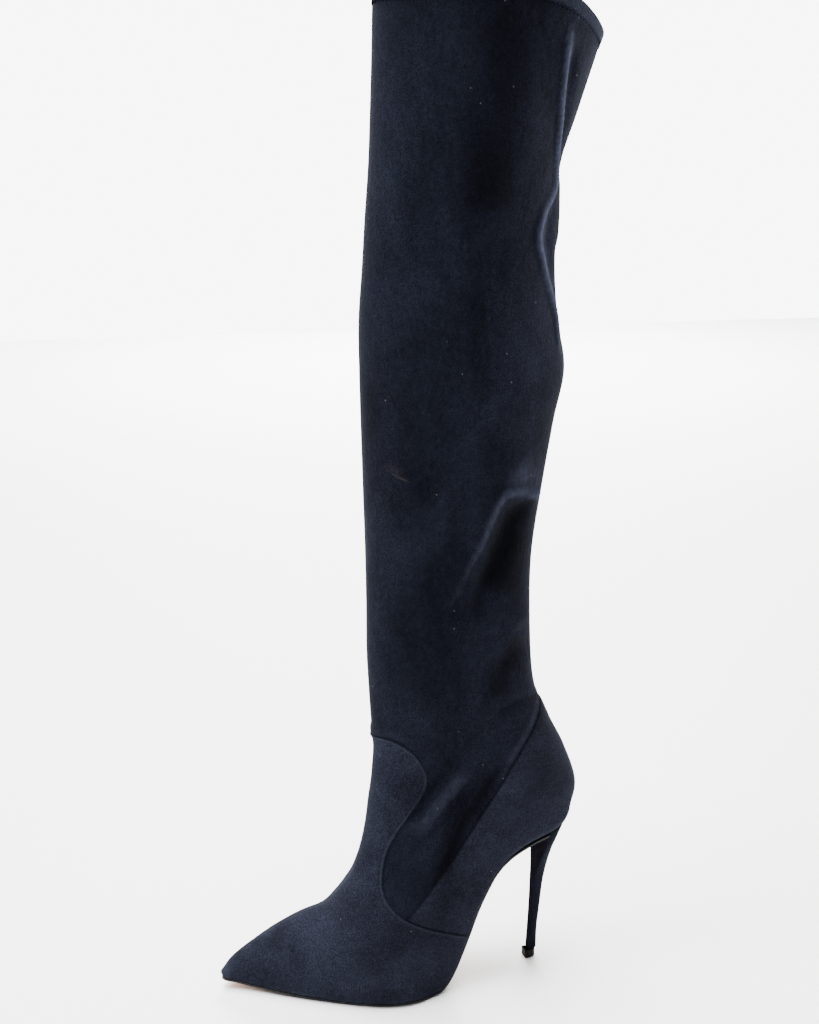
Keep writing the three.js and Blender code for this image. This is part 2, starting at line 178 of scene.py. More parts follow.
# Soft creases of the worn boot. height is in mm, a ridge when positive and a trough when negative, and
# width is the distance in mm at which it has mostly gone. The next number lightens the nap along the
# crease when positive, partly wear and partly painted highlight, and darkens it with painted shade when
# negative. A row with no height is a patch of painted shade, or of painted light when positive. tail is
# the share of its length over which the far end fades. Then come its points as (row, turn): the
# section's number, and the way round from the front over the outer side to the back, 0 to 1.
CREASES = (
    ("outer back crest", 2.4, 2.8, 1.2, 0, ((31.26, 0.332), (30.75, 0.344), (30.15, 0.36), (29.43, 0.388),
     (28.74, 0.412), (28.41, 0.396), (28.14, 0.372), (27.69, 0.36), (27.18, 0.376), (26.76, 0.392),
     (26.37, 0.412), (25.98, 0.424), (25.29, 0.412))),
    ("back groove", -2.2, 4.0, -0.3, 0, ((31.05, 0.356), (30.45, 0.368), (29.82, 0.392), (29.43, 0.416),
     (29.1, 0.452))),
    ("knee dent", -2.4, 4.5, 0.25, 0, ((28.44, 0.424), (28.11, 0.4), (27.84, 0.392), (27.51, 0.392),
     (27.12, 0.408), (26.7, 0.424))),
    ("calf fold", 2.6, 3.6, 1.0, 0.85, ((22.86, 0.444), (22.95, 0.376), (22.98, 0.336), (22.98, 0.312),
     (22.86, 0.3), (22.68, 0.292), (22.44, 0.284), (22.17, 0.272), (21.9, 0.256), (21.54, 0.24),
     (21.18, 0.216), (20.85, 0.196))),
    ("calf bulge", 1.2, 12, 0.25, 0, ((23.1, 0.444), (23.22, 0.36), (23.19, 0.324))),
    ("calf hollow", -3.4, 9, -0.6, 0, ((22.68, 0.396), (22.65, 0.344), (22.38, 0.328), (22.11, 0.316),
     (21.84, 0.304), (21.51, 0.288), (21.12, 0.28), (20.79, 0.272))),
    ("low fold", 1.2, 4.5, 0.2, 0, ((20.94, 0.464), (20.91, 0.404), (20.73, 0.352), (20.49, 0.312),
     (20.22, 0.276))),
    ("low hollow", -1.4, 4.5, -0.2, 0, ((20.52, 0.464), (20.46, 0.384), (20.34, 0.344), (20.13, 0.312))),
    ("shin fold", 0.6, 9, 0, 0, ((22.05, 0.184), (21.36, 0.18), (20.76, 0.188), (20.28, 0.216))),
    ("ankle back fold", -1.6, 3.5, -0.3, 0, ((19.59, 0.476), (19.56, 0.38), (19.32, 0.324),
     (18.99, 0.28))),
    ("calf swell", 1.3, 9, 0.25, 0.6, ((23.0, 0.312), (23.31, 0.336), (23.58, 0.356), (23.85, 0.368))),
    ("knee swell", 1.4, 9, 0, 0, ((28.9, 0.47), (28.08, 0.45), (27.3, 0.45))),
    ("thigh shade", 0, 30, -0.6, 0, ((31.6, 0.226), (30.45, 0.244), (29.28, 0.26), (28.02, 0.276))),
    ("calf shade", 0, 26, -0.58, 0, ((23.0, 0.38), (22.7, 0.36), (21.99, 0.332), (21.33, 0.3))),
    ("back shade", 0, 20, -0.5, 0, ((22.56, 0.376), (21.93, 0.372), (21.24, 0.366), (20.75, 0.375))),
    ("counter shade", 0, 20, -0.35, 0, ((18.12, 0.384), (17.16, 0.332), (16.08, 0.308))),
    ("low shade", 0, 16, -0.7, 0, ((20.7, 0.4), (20.19, 0.336), (19.41, 0.304))),
    ("gore shade", 0, 9, -0.6, 0, ((17.16, 0.244), (14.61, 0.22), (12.6, 0.24), (11.49, 0.228))),
    ("gore light", 0, 8, 0.22, 0, ((16.74, 0.208), (15.24, 0.184), (13.23, 0.184), (12.03, 0.168))),
    ("tab trough", -2.8, 6, -0.3, 0, ((16.62, 0.18), (15.12, 0.16), (13.47, 0.16), (12.45, 0.156))),
    ("tab ridge", 2.0, 5, 0.1, 0, ((17.19, 0.22), (15.72, 0.188), (13.35, 0.176), (11.82, 0.14))),
    ("middle trough", -1.8, 5.5, -0.2, 0, ((16.56, 0.224), (14.97, 0.2), (12.84, 0.2), (11.43, 0.172))),
    ("middle ridge", 1.5, 6.5, 0, 0, ((17.04, 0.244), (15.48, 0.22), (13.08, 0.228), (11.49, 0.204))),
    ("counter trough", -2.4, 5, -0.3, 0, ((17.64, 0.284), (16.44, 0.24), (14.31, 0.228), (12.57, 0.244),
     (11.58, 0.232), (10.95, 0.212))),
    ("tab overhang", 1.6, 3.2, 0.1, 0, ((17.13, -0.1), (17.01, -0.064), (16.62, 0.0), (17.01, 0.064),
     (17.13, 0.1), (16.98, 0.128))),
    ("instep crease", -0.9, 6, -0.1, 0, ((8.22, -0.06), (8.22, -0.008), (9.09, 0.08), (10.11, 0.136))),
    ("side hollow", -1.5, 26, -0.1, 0, ((29.82, 0.252), (28.38, 0.272), (26.46, 0.26), (24.99, 0.228))),
    ("inner back crest", 1.8, 5, 0.12, 0, ((31.0, 0.64), (30.2, 0.63), (29.3, 0.6), (28.4, 0.61),
     (27.6, 0.63), (26.8, 0.6), (26.0, 0.56))),
    ("inner calf fold", 2.2, 6, 0.12, 0.6, ((23.2, 0.56), (23.0, 0.64), (22.7, 0.69), (22.1, 0.72),
     (21.4, 0.75))),
    ("inner calf hollow", -2.6, 10, -0.4, 0, ((22.6, 0.58), (22.1, 0.65), (21.5, 0.68), (20.8, 0.67))),
    ("inner tab trough", -2.4, 6, -0.3, 0, ((16.6, 0.82), (15.1, 0.84), (13.5, 0.84), (12.4, 0.85))),
    ("inner tab ridge", 1.6, 5, 0.3, 0, ((17.1, 0.78), (15.7, 0.81), (13.4, 0.82), (11.8, 0.86))),
    ("inner counter trough", -2.0, 5, -0.3, 0, ((17.6, 0.72), (16.4, 0.76), (14.3, 0.77), (12.6, 0.76),
     (11.0, 0.79))),
)


def smooth(before, start, end, after, share):
    """A value on a smooth curve through four neighbours, between the second and the third."""
    bend = 2 * before - 5 * start + 4 * end - after
    twist = 3 * (start - end) + after - before
    return start + 0.5 * share * (end - before + share * (bend + share * twist))


def through(rows, places):
    """Smooth values through the rows of a table at places counted in rows."""
    rows = np.asarray(rows, float)
    places = np.asarray(places, float)
    top = len(rows) - 1
    low = np.clip(np.floor(places).astype(int), 0, top - 1)
    near = [rows[np.clip(low + k, 0, top)] for k in (-1, 0, 1, 2)]
    return smooth(*near, (places - low)[..., None])


def ease(low, high, value):
    """0 below low, 1 above high, and a soft step between."""
    share = np.clip((value - low) / (high - low), 0, 1)
    return share * share * (3 - 2 * share)


def bezier(points, steps):
    """Points on a Bezier curve with any number of control points."""
    share = np.linspace(0, 1, steps)[:, None, None]
    level = np.repeat(np.asarray(points, float)[None], steps, axis=0)
    while level.shape[1] > 1:
        level = level[:, :-1] * (1 - share) + level[:, 1:] * share
    return level[:, 0]


def nearest_on(line, points):
    """Distance from each point to a line of points, with the nearest place and its share of the way."""
    starts, ends = line[:-1], line[1:]
    lengths = np.linalg.norm(ends - starts, axis=1)
    before = np.concatenate([[0], np.cumsum(lengths)])
    best = np.full(len(points), np.inf)
    where = np.zeros_like(points)
    share = np.zeros(len(points))
    for k, (a, b) in enumerate(zip(starts, ends)):
        way = b - a
        f = np.clip((points - a) @ way / max(way @ way, 1e-18), 0, 1)
        on = a + f[:, None] * way
        distance = np.linalg.norm(points - on, axis=1)
        closer = distance < best
        best[closer] = distance[closer]
        where[closer] = on[closer]
        share[closer] = (before[k] + f[closer] * lengths[k]) / before[-1]
    return best, where, share


def inside(outline, points):
    """Which points lie inside a closed outline in the side view."""
    y, z = points[:, 0], points[:, 1]
    within = np.zeros(len(points), bool)
    for (ay, az), (by, bz) in zip(outline, np.roll(outline, -1, axis=0)):
        if az == bz:
            continue
        crosses = (az > z) != (bz > z)
        within ^= crosses & (y < ay + (z - az) * (by - ay) / (bz - az))
    return within


class Last:
    """The boot's form, worked out from the named sizes: sections from the toe tip up to the collar."""

    def __init__(self, sizes):
        self.sizes = sizes
        self.seat = sizes.heel_height + sizes.sole_thickness
        self.leg_middle = sizes.heel_set - sizes.leg_set
        self.collar_top = self.seat + sizes.shaft_height
        self.sole_line = self.make_sole_line()
        self.upper_bottom = sizes.sole_thickness + sizes.gap
        self.sections = np.array(self.foot_sections() + self.leg_sections())
        self.last_row = len(self.sections) - 1
        self.creases = []
        for _, height, width, wear_and_painted_light, tail, points in CREASES:
            line = self.point(*self.resample(points))
            long = np.linalg.norm(np.diff(line, axis=0), axis=1).sum()
            fading = min(0.22, 15 * MM / long)
            fades = (fading, max(fading, tail))
            self.creases.append((height * MM * sizes.crease_depth, width * MM, wear_and_painted_light, fades, line))

    def place(self, along, up):
        return np.array([self.sizes.heel_set - along * self.sizes.foot_length, up])

    def make_sole_line(self):
        """The underside of the sole from the side: seat, shank, flat tread and toe spring."""
        height = self.sizes.heel_height
        spring = self.sizes.toe_spring
        middle = self.place(0.267, 0.665 * height)
        tread_start = self.place(0.423, 0)
        tread_end = self.place(0.701, 0)
        seat = [self.place(0, height), self.place(0.111, 0.982 * height), self.place(0.238, 0.866 * height)]
        shank = [middle, self.place(0.324, 0.382 * height), self.place(0.366, 0), tread_start]
        toe = [tread_end, self.place(0.875, 0), self.place(1.02, 1.15 * spring)]
        behind = self.place(-0.3, height + 0.09 * self.sizes.foot_length)
        ahead = self.place(1.2, 1.65 * spring)
        parts = ((seat + [middle], 50), (shank, 50), ([tread_start, tread_end], 20), (toe, 30))
        runs = [bezier(points, steps) for points, steps in parts]
        return np.concatenate([[behind], runs[0]] + [run[1:] for run in runs[1:]] + [[ahead]])

    def sole_at(self, y):
        return np.interp(-np.asarray(y), -self.sole_line[:, 0], self.sole_line[:, 1])

    def sole_level(self, y, up):
        """Height of a level that lies a distance over the sole's line, square to it."""
        step = 0.5 * MM
        slope = (self.sole_at(y + step) - self.sole_at(y - step)) / (2 * step)
        return self.sole_at(y) + up * np.sqrt(1 + slope * slope)

    def over_sole(self, points):
        """Signed distance over the sole's line."""
        flat = points[:, 1:]
        distance, _, _ = nearest_on(self.sole_line[::3], flat)
        return np.where(flat[:, 1] > self.sole_at(flat[:, 0]), distance, -distance)

    def foot_sections(self):
        s = self.sizes
        made = []
        for row in FOOT:
            of = dict(zip(FOOT_COLUMNS, row))
            bottom = s.heel_set - of["sole"] * s.foot_length
            top_z = of["lift"] * s.heel_height + of["rise"] * s.joint_height
            sole = self.sole_at(bottom)
            made.append([
                s.heel_set - of["top"] * s.foot_length, top_z, bottom, sole - 0.09 * (top_z - sole),
                -of["swing"] * s.toe_swing, of["half"] * s.ball_width,
                of["widest"], of["crown"], of["edge"],
            ])
        return made

    def leg_sections(self):
        s = self.sizes
        made = []
        for row in LEG:
            of = dict(zip(LEG_COLUMNS, row))
            depth = getattr(s, of["at"] + "_depth")
            width = getattr(s, of["at"] + "_width")
            made.append([
                self.leg_middle - of["front"] * depth, self.seat + of["front_up"] * s.shaft_height,
                self.leg_middle + of["back"] * depth, self.seat + of["back_up"] * s.shaft_height,
                0, of["half"] * width, of["widest"], 2, 2,
            ])
        return made

    def point(self, row, turn):
        row, turn = np.broadcast_arrays(np.asarray(row, float), np.asarray(turn, float))
        top_y, top_z, low_y, low_z, middle, half, widest, crown, edge = np.moveaxis(
            through(self.sections, np.clip(row, 0, self.last_row)), -1, 0
        )
        across = np.sin(TAU * turn)
        up = np.cos(TAU * turn)
        power = np.where(up > 0, crown, edge)
        reach = np.where(up > 0, 1 - widest, widest)
        radius = (np.abs(across) ** power + np.abs(up) ** power) ** (-1 / power)
        share = widest + up * radius * reach
        x = middle + half * across * radius
        return np.stack([x, low_y + (top_y - low_y) * share, low_z + (top_z - low_z) * share], -1)

    def normal(self, row, turn):
        """The way out of the form. It turns to the front at the very tip of the toe."""
        step = 0.02
        row = np.maximum(np.asarray(row, float), 0.04)
        ahead = self.point(np.minimum(row + step, self.last_row), turn)
        behind = self.point(row - step, turn)
        around = self.point(row, turn + step) - self.point(row, turn - step)
        out = np.cross(around, ahead - behind)
        out /= np.maximum(np.linalg.norm(out, axis=-1, keepdims=True), 1e-12)
        tip = 1 - ease(0.04, 0.6, row)[..., None]
        out = out * (1 - tip) + np.array([0, -1, 0]) * tip
        return out / np.linalg.norm(out, axis=-1, keepdims=True)

    def folds(self, points):
        """How far the creases lift or sink each point, and their wear with painted highlight and shade."""
        moved = np.zeros(len(points))
        worn = np.zeros(len(points))
        for height, width, wear_and_painted_light, fades, line in self.creases:
            low, high = line.min(0) - 3 * width, line.max(0) + 3 * width
            near = np.flatnonzero(((points > low) & (points < high)).all(1))
            if len(near):
                distance, _, share = nearest_on(line, points[near])
                fade = ease(0, fades[0], share) * ease(0, fades[1], 1 - share)
                moved[near] += height * fade * np.exp(-((distance / width) ** 2))
                # Painted highlight on crests and painted shade in troughs and shade patches, partly wear
                worn[near] += wear_and_painted_light * fade * np.exp(-((distance / (0.7 * width)) ** 2))
        return moved, worn

    def surface(self, row, turn, lift):
        """A point on the creased form, raised by a distance. The heel's seat is drawn in round its edge."""
        base = self.point(row, turn)
        over = self.over_sole(base) - self.upper_bottom
        tuck = 1.5 * MM * (1 - ease(-1 * MM, 7 * MM, over)) * ease(12.5, 14, np.asarray(row, float))
        return base + self.normal(row, turn) * (lift - tuck + self.folds(base)[0])[:, None]

    @staticmethod
    def resample(points):
        """A table's (row, turn) points as a smooth line."""
        made = through(points, np.linspace(0, len(points) - 1, 5 * (len(points) - 1) + 1))
        return made[:, 0], made[:, 1]

    def seam_line(self, table):
        points = [self.place(along, up * self.sizes.tab_height) for along, up in table]
        return through(points, np.linspace(0, len(points) - 1, 4 * (len(points) - 1) + 1))

    def panel_distance(self, row, turn, seam, corners):
        """Distance along the surface from a panel's seam, positive inside the panel."""
        base = self.point(row, turn)
        flat = base[:, 1:]
        distance, where, _ = nearest_on(seam, flat)
        within = inside(np.concatenate([seam, corners]), flat)
        way = np.zeros_like(base)
        way[:, 1:] = (flat - where) / np.maximum(distance, 1e-9)[:, None]
        leaning = (way * self.normal(row, turn)).sum(1)
        stretched = distance / np.sqrt(np.maximum(1 - leaning**2, 0.12))
        return np.where(within, stretched, -stretched)

    def vamp_distance(self, row, turn):
        s = self.sizes
        low = -0.15 * s.heel_height
        corners = [self.place(0.28, low), self.place(1.2, low), self.place(1.2, 1.1 * s.tab_height)]
        return self.panel_distance(row, turn, self.seam_line(VAMP_SEAM), corners)

    def counter_distance(self, row, turn):
        s = self.sizes
        low = -0.15 * s.heel_height
        corners = [self.place(0.54, low), self.place(-0.3, low), self.place(-0.3, 1.2 * s.tab_height)]
        return self.panel_distance(row, turn, self.seam_line(COUNTER_SEAM), corners)

    def bottom_distance(self, row, turn):
        return self.over_sole(self.point(row, turn)) - self.upper_bottom

    def collar_row(self, turn, lower=0.0):
        """The row at which the collar's edge crosses, for each way round, lowered by a distance."""
        s = self.sizes
        points = [
            (self.leg_middle - ahead * s.collar_depth, self.collar_top - dip * s.collar_dip)
            for ahead, dip in COLLAR_LINE
        ]
        line = through(points, np.linspace(0, len(points) - 1, 60))
        low = np.full(len(turn), self.last_row - 4.0)
        high = np.full(len(turn), float(self.last_row))
        for _ in range(40):
            middle = (low + high) / 2
            at = self.point(middle, turn)
            over = at[:, 2] > np.interp(at[:, 1], line[:, 0], line[:, 1]) - lower
            high = np.where(over, middle, high)
            low = np.where(over, low, middle)
        return (low + high) / 2

    def edge_turn(self, row, side, grow, up):
        """Where a grown section crosses a level over the sole, on the outer (1) or inner (-1) side."""
        near = np.full(len(row), 0.2)
        far = np.full(len(row), 0.5)
        for _ in range(40):
            middle = (near + far) / 2
            at = self.point(row, side * middle) + grow * self.normal(row, side * middle)
            over = at[:, 2] > self.sole_level(at[:, 1], up)
            near = np.where(over, middle, near)
            far = np.where(over, far, middle)
        return side * (near + far) / 2

    def back_row(self, grow, up):
        """The row at which the back of a grown form crosses a level over the sole."""
        rows = np.linspace(14, 17, 600)
        at = self.point(rows, 0.5) + grow * self.normal(rows, 0.5)
        under = at[:, 2] < self.sole_level(at[:, 1], up)
        return rows[np.flatnonzero(under)[-1]]


def deselect_all():
    if bpy.context.object and bpy.context.object.mode != "OBJECT":
        bpy.ops.object.mode_set(mode="OBJECT")
    bpy.ops.object.select_all(action="DESELECT")


def select_only(piece):
    deselect_all()
    piece.select_set(True)
    bpy.context.view_layer.objects.active = piece


def flat_pattern(name, columns, rows, turns, row_span):
    """A flat grid whose x is the turn round the boot and whose y is the row along it."""
    deselect_all()
    bpy.ops.mesh.primitive_grid_add(x_subdivisions=columns, y_subdivisions=rows, size=1, location=(0, 0, 0))
    piece = bpy.context.object
    piece.name = name
    piece.data.name = name
    co = read_points(piece)
    co[:, 0] = turns[0] + (co[:, 0] + 0.5) * (turns[1] - turns[0])
    co[:, 1] = row_span[0] + (co[:, 1] + 0.5) * (row_span[1] - row_span[0])
    write_points(piece, co)
    return piece


def read_points(piece):
    co = np.zeros(len(piece.data.vertices) * 3)
    piece.data.vertices.foreach_get("co", co)
    return co.reshape(-1, 3)


def write_points(piece, co):
    piece.data.vertices.foreach_set("co", np.asarray(co, float).ravel())
    piece.data.update()


def score(mesh, measure, level, border, trim=False):
    """Cuts a flat pattern where a measure reaches a level, and may cut away what is under it.

    Corners close to the line are moved on to it first, so that no thin faces are left. border gives the
    turns of the pattern's two sides, whose corners only move along them. Returns the corners on the line.
    """
    verts, edges = list(mesh.verts), list(mesh.edges)
    mesh.verts.index_update()
    co = np.array([v.co[:2] for v in verts])
    value = measure(co[:, 1], co[:, 0]) - level
    pairs = np.array([(e.verts[0].index, e.verts[1].index) for e in edges])
    fixed = {v.index for v in verts if v.tag}
    on_line = set()
    first, second = value[pairs[:, 0]], value[pairs[:, 1]]
    crossing = np.flatnonzero(first * second < 0)
    for k in crossing:
        a, b = pairs[k]
        if a in on_line or b in on_line:
            continue
        share = value[a] / (value[a] - value[b])
        near = a if share < 0.25 else b if share > 0.75 else None
        if near is None or near in fixed:
            continue
        at = co[a] + share * (co[b] - co[a])
        at_border = min(abs(co[near][0] - border[0]), abs(co[near][0] - border[1])) < 1e-6
        if at_border and abs(at[0] - co[near][0]) > 1e-7:
            continue
        verts[near].co.x, verts[near].co.y = at
        co[near] = at
        value[near] = 0
        on_line.add(int(near))
    marked = {verts[k] for k in on_line}
    for k in crossing:
        a, b = pairs[k]
        if value[a] * value[b] < 0:
            share = value[a] / (value[a] - value[b])
            _, made = bmesh.utils.edge_split(edges[k], verts[a], float(share))
            marked.add(made)
    for face in {f for v in marked for f in v.link_faces}:
        ends = [v for v in face.verts if v in marked]
        if len(ends) == 2 and not any(e.other_vert(ends[0]) is ends[1] for e in ends[0].link_edges):
            bmesh.utils.face_split(face, ends[0], ends[1])
    for v in marked:
        v.tag = True
    if trim:
        middles = np.array([f.calc_center_median()[:2] for f in mesh.faces])
        under = measure(middles[:, 1], middles[:, 0]) < level
        gone = [f for f, out in zip(mesh.faces, under) if out]
        bmesh.ops.delete(mesh, geom=gone, context="FACES")
        marked = {v for v in marked if v.is_valid}
    return marked


def chains(marked):
    """Scored corners as ordered lines of (turn, row) points."""
    left = set(marked)
    made = []

    def neighbours(v):
        return [e.other_vert(v) for e in v.link_edges if e.other_vert(v) in left]

    while left:
        start = next((v for v in left if len(neighbours(v)) == 1), None) or next(iter(left))
        left.discard(start)
        line = [start]
        while True:
            ways = neighbours(line[-1])
            if not ways:
                break
            line.append(min(ways, key=lambda v: (v.co - line[-1].co).length))
            left.discard(line[-1])
        if len(line) > 3:
            made.append(np.array([v.co[:2] for v in line]))
    return made


def cut_pattern(piece, border, lines):
    """Scores a flat pattern along several lines: (measure, level, trim). Returns the last line's chains."""
    mesh = bmesh.new()
    mesh.from_mesh(piece.data)
    for v in mesh.verts:
        v.tag = False
    kept = []
    for measure, level, trim, keep in lines:
        marked = score(mesh, measure, level, border, trim)
        if keep:
            kept += chains(marked)
    many = [f for f in mesh.faces if len(f.verts) > 4]
    bmesh.ops.triangulate(mesh, faces=many)
    mesh.to_mesh(piece.data)
    mesh.free()
    return kept


def add_attribute(piece, name, values):
    attribute = piece.data.attributes.new(name, "FLOAT", "POINT")
    attribute.data.foreach_set("value", np.asarray(values, np.float32))


def close_seams(piece, distance=0.02 * MM):
    """Joins the pattern's two sides, and the corners that meet at a tip."""
    select_only(piece)
    bpy.ops.object.mode_set(mode="EDIT")
    bpy.ops.mesh.select_all(action="SELECT")
    bpy.ops.mesh.remove_doubles(threshold=distance)
    bpy.ops.object.mode_set(mode="OBJECT")


def thicken(piece, thickness, weights=None, inner_material=0):
    """Gives a panel its wall, inwards. weights are shares of the thickness at each corner."""
    select_only(piece)
    wall = piece.modifiers.new("Wall", "SOLIDIFY")
    wall.thickness = thickness
    wall.offset = -1
    wall.use_even_offset = False
    wall.use_rim = True
    wall.material_offset = inner_material
    if weights is not None:
        group = piece.vertex_groups.new(name="wall")
        for k, weight in enumerate(weights):
            group.add([k], float(weight), "REPLACE")
        wall.vertex_group = group.name
    bpy.ops.object.modifier_apply(modifier=wall.name)
    piece.vertex_groups.clear()


def soften(piece, angle=50):
    select_only(piece)
    bpy.ops.object.shade_smooth_by_angle(angle=math.radians(angle))


def recalculate(piece):
    select_only(piece)
    bpy.ops.object.mode_set(mode="EDIT")
    bpy.ops.mesh.select_all(action="SELECT")
    bpy.ops.mesh.normals_make_consistent(inside=False)
    bpy.ops.object.mode_set(mode="OBJECT")


def dress(piece, slot, *nodes):
    """Hangs a finished piece on the root body and hides the CAD parts that it replaces; slot is not used.
    """
    deselect_all()
    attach(piece, "root")
    if nodes:
        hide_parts(*nodes)


# Materials


def from_hex(code):
    """An sRGB hex colour as linear RGBA."""
    parts = [int(code[k : k + 2], 16) / 255 for k in (1, 3, 5)]
    return [c / 12.92 if c <= 0.04045 else ((c + 0.055) / 1.055) ** 2.4 for c in parts] + [1]


def add_node(tree, kind, values=None, links=None, **settings):
    """Adds a shader node with its settings, socket values and links."""
    made = tree.nodes.new("ShaderNode" + kind)
    for key, value in settings.items():
        setattr(made, key, value)
    for key, value in (values or {}).items():
        made.inputs[key].default_value = value
    for key, socket in (links or {}).items():
        tree.links.new(socket, made.inputs[key])
    return made


def new_material(name):
    made = bpy.data.materials.get(name)
    if made:
        return made, None
    made = bpy.data.materials.new(name)
    made.use_nodes = True
    made.node_tree.nodes.clear()
    return made, made.node_tree


def mix_colours(tree, share, first, second, blend="MIX"):
    """Two colours or colour sockets mixed by a socket."""
    mixed = add_node(tree, "Mix", data_type="RGBA", blend_type=blend)
    for slot, value in ((0, share), (6, first), (7, second)):
        if isinstance(value, bpy.types.NodeSocket):
            tree.links.new(value, mixed.inputs[slot])
        else:
            mixed.inputs[slot].default_value = value
    return mixed.outputs[2]


def remap(tree, socket, low, high, to_low=0.0, to_high=1.0):
    values = {"From Min": low, "From Max": high, "To Min": to_low, "To Max": to_high}
    return add_node(tree, "MapRange", values, {"Value": socket}, clamp=True).outputs["Result"]


def suede(name, dark, light, wear_and_highlight, painted_shade, stretch=1.0, smears=()):
    """Split suede, brushed: its nap catches light at edges of forms and lies in dark and light patches."""
    made, tree = new_material(name)
    if tree is None:
        return made

    def noise(vector, **values):
        return add_node(tree, "TexNoise", values, {"Vector": vector}).outputs["Fac"]

    def multiply(first, second):
        return add_node(tree, "Math", links={0: first, 1: second}, operation="MULTIPLY").outputs[0]

    place = add_node(tree, "TexCoord").outputs["Object"]
    along = add_node(tree, "Mapping", {"Scale": (1, 1, stretch)}, {"Vector": place}).outputs["Vector"]
    # Brushed patches, 20 to 60 mm across
    patches = noise(along, Scale=24, Detail=4, Roughness=0.55, Distortion=0.6)
    # Small strokes of the nap, about 3 mm
    strokes = noise(along, Scale=330, Detail=3, Roughness=0.6)
    # Fibres are 0.1 mm; they are drawn 0.9 mm across, so that they show in the render
    fibres = noise(place, Scale=1080, Detail=2, Roughness=0.75)
    patch = remap(tree, patches, 0.32, 0.68)
    stroke = remap(tree, strokes, 0.3, 0.7)
    fibre = remap(tree, fibres, 0.3, 0.7)
    base = mix_colours(tree, patch, from_hex(dark), from_hex(light))
    base = mix_colours(tree, 0.3, base, mix_colours(tree, stroke, from_hex(dark), from_hex(light)))
    grain = mix_colours(tree, fibre, [0.34, 0.34, 0.34, 1], [1.95, 1.95, 1.95, 1])
    base = mix_colours(tree, 1.0, base, grain, "MULTIPLY")
    # Painted highlight, partly wear, on the crests of folds, and painted shade in troughs and patches
    wear_and_painted_light = add_node(tree, "Attribute", attribute_name="wear_and_painted_light").outputs["Fac"]
    worn = multiply(wear_and_painted_light, remap(tree, strokes, 0.3, 0.7, 0.5, 1))
    base = mix_colours(tree, remap(tree, worn, 0, 1, 0, 0.85), base, from_hex(wear_and_highlight))
    # Painted shade, near black, where the value is negative
    base = mix_colours(tree, remap(tree, wear_and_painted_light, -1, 0, 0.85, 0), base, from_hex(painted_shade))
    # Lint: a speck in a few of the 13 mm cells
    cells = add_node(tree, "TexVoronoi", {"Scale": 75, "Randomness": 1.0}, {"Vector": place})
    speck = remap(tree, cells.outputs["Distance"], 0.024, 0.046, 0.8, 0)
    base = mix_colours(tree, speck, base, from_hex("#45434a"))
    for middle, half, slope, tan in smears:
        span = {
            "Location": [v * MM for v in middle],
            "Rotation": (math.radians(slope), 0, 0),
            "Scale": [v * MM for v in half],
        }
        around = add_node(tree, "Mapping", span, {"Vector": place}, vector_type="TEXTURE").outputs["Vector"]
        smear = add_node(tree, "TexGradient", links={"Vector": around}, gradient_type="SPHERICAL")
        stained = multiply(remap(tree, smear.outputs["Fac"], 0, 0.5, 0, tan), fibre)
        base = mix_colours(tree, stained, base, from_hex("#4d443d"))
    nap = add_node(tree, "Bump", {"Strength": 0.55, "Distance": 0.5 * MM}, {"Height": fibres})
    brushed = add_node(
        tree, "Bump", {"Strength": 0.35, "Distance": 1.2 * MM},
        {"Height": strokes, "Normal": nap.outputs["Normal"]},
    )
    shader = add_node(
        tree, "BsdfPrincipled",
        {"Roughness": 0.92, "IOR": 1.45, "Specular IOR Level": 0.03, "Sheen Weight": 0.055,
         "Sheen Roughness": 0.42, "Sheen Tint": from_hex("#9b9eb5")},
        {"Base Color": base, "Normal": brushed.outputs["Normal"]},
    )
    tree.links.new(shader.outputs[0], add_node(tree, "OutputMaterial").inputs[0])
    return made


def plain_hide(name, colour, worn, roughness, grain_scale, bump, gloss=0.5):
    """Finished leather, lining or rubber: one colour with faint wear and a fine grain."""
    made, tree = new_material(name)
    if tree is None:
        return made
    place = add_node(tree, "TexCoord").outputs["Object"]
    clouds = add_node(tree, "TexNoise", {"Scale": 60, "Detail": 4}, {"Vector": place})
    detail = {"Scale": grain_scale, "Detail": 3, "Roughness": 0.6}
    grain = add_node(tree, "TexNoise", detail, {"Vector": place})
    share = remap(tree, clouds.outputs["Fac"], 0.35, 0.7)
    base = mix_colours(tree, share, from_hex(colour), from_hex(worn))
    rough = remap(tree, grain.outputs["Fac"], 0.3, 0.7, roughness - 0.08, roughness + 0.1)
    height = {"Height": grain.outputs["Fac"]}
    relief = add_node(tree, "Bump", {"Strength": bump, "Distance": 0.3 * MM}, height)
    shader = add_node(
        tree, "BsdfPrincipled", {"IOR": 1.5, "Specular IOR Level": gloss},
        {"Base Color": base, "Roughness": rough, "Normal": relief.outputs["Normal"]},
    )
    tree.links.new(shader.outputs[0], add_node(tree, "OutputMaterial").inputs[0])
    return made


def leg_suede():
    """Stretch suede, brushed kid on an elastic backing: the darkest and softest surface."""
    # The third colour is wear and painted highlight on crests, the fourth painted shade in troughs
    return suede("stretch suede, brushed", "#040509", "#12141d", "#383b4a", "#010102", 0.55, SMEARS)


def panel_suede():
    """Kid suede of the vamp and counter, cut and skived: lighter and a little greyer than the leg."""
    # The third colour is wear and painted highlight on crests, the fourth painted shade in troughs
    return suede("kid suede, cut", "#0b0c12", "#1a1c26", "#353845", "#050507")


def lining():
    """Knitted tricot lining, matt and near black."""
    return plain_hide("tricot lining, knitted", "#0e0f13", "#17181d", 0.85, 900, 0.4, 0.1)


def thread():
    """Polyester thread, twisted: about as dark as the suede, so that it shows by its form."""
    return plain_hide("polyester thread, twisted", "#0a0a0e", "#111218", 0.7, 1500, 0.2, 0.06)


def hem_thread():
    """Elastic thread of the hem: matt and darker than the suede."""
    return plain_hide("elastic thread, zigzag", "#090a0f", "#0d0e14", 0.9, 1500, 0.2, 0.0)


def length(name, mm, description):
    return FloatProperty(
        name=name, description=description, default=mm * MM, min=0, unit="LENGTH", subtype="DISTANCE"
    )


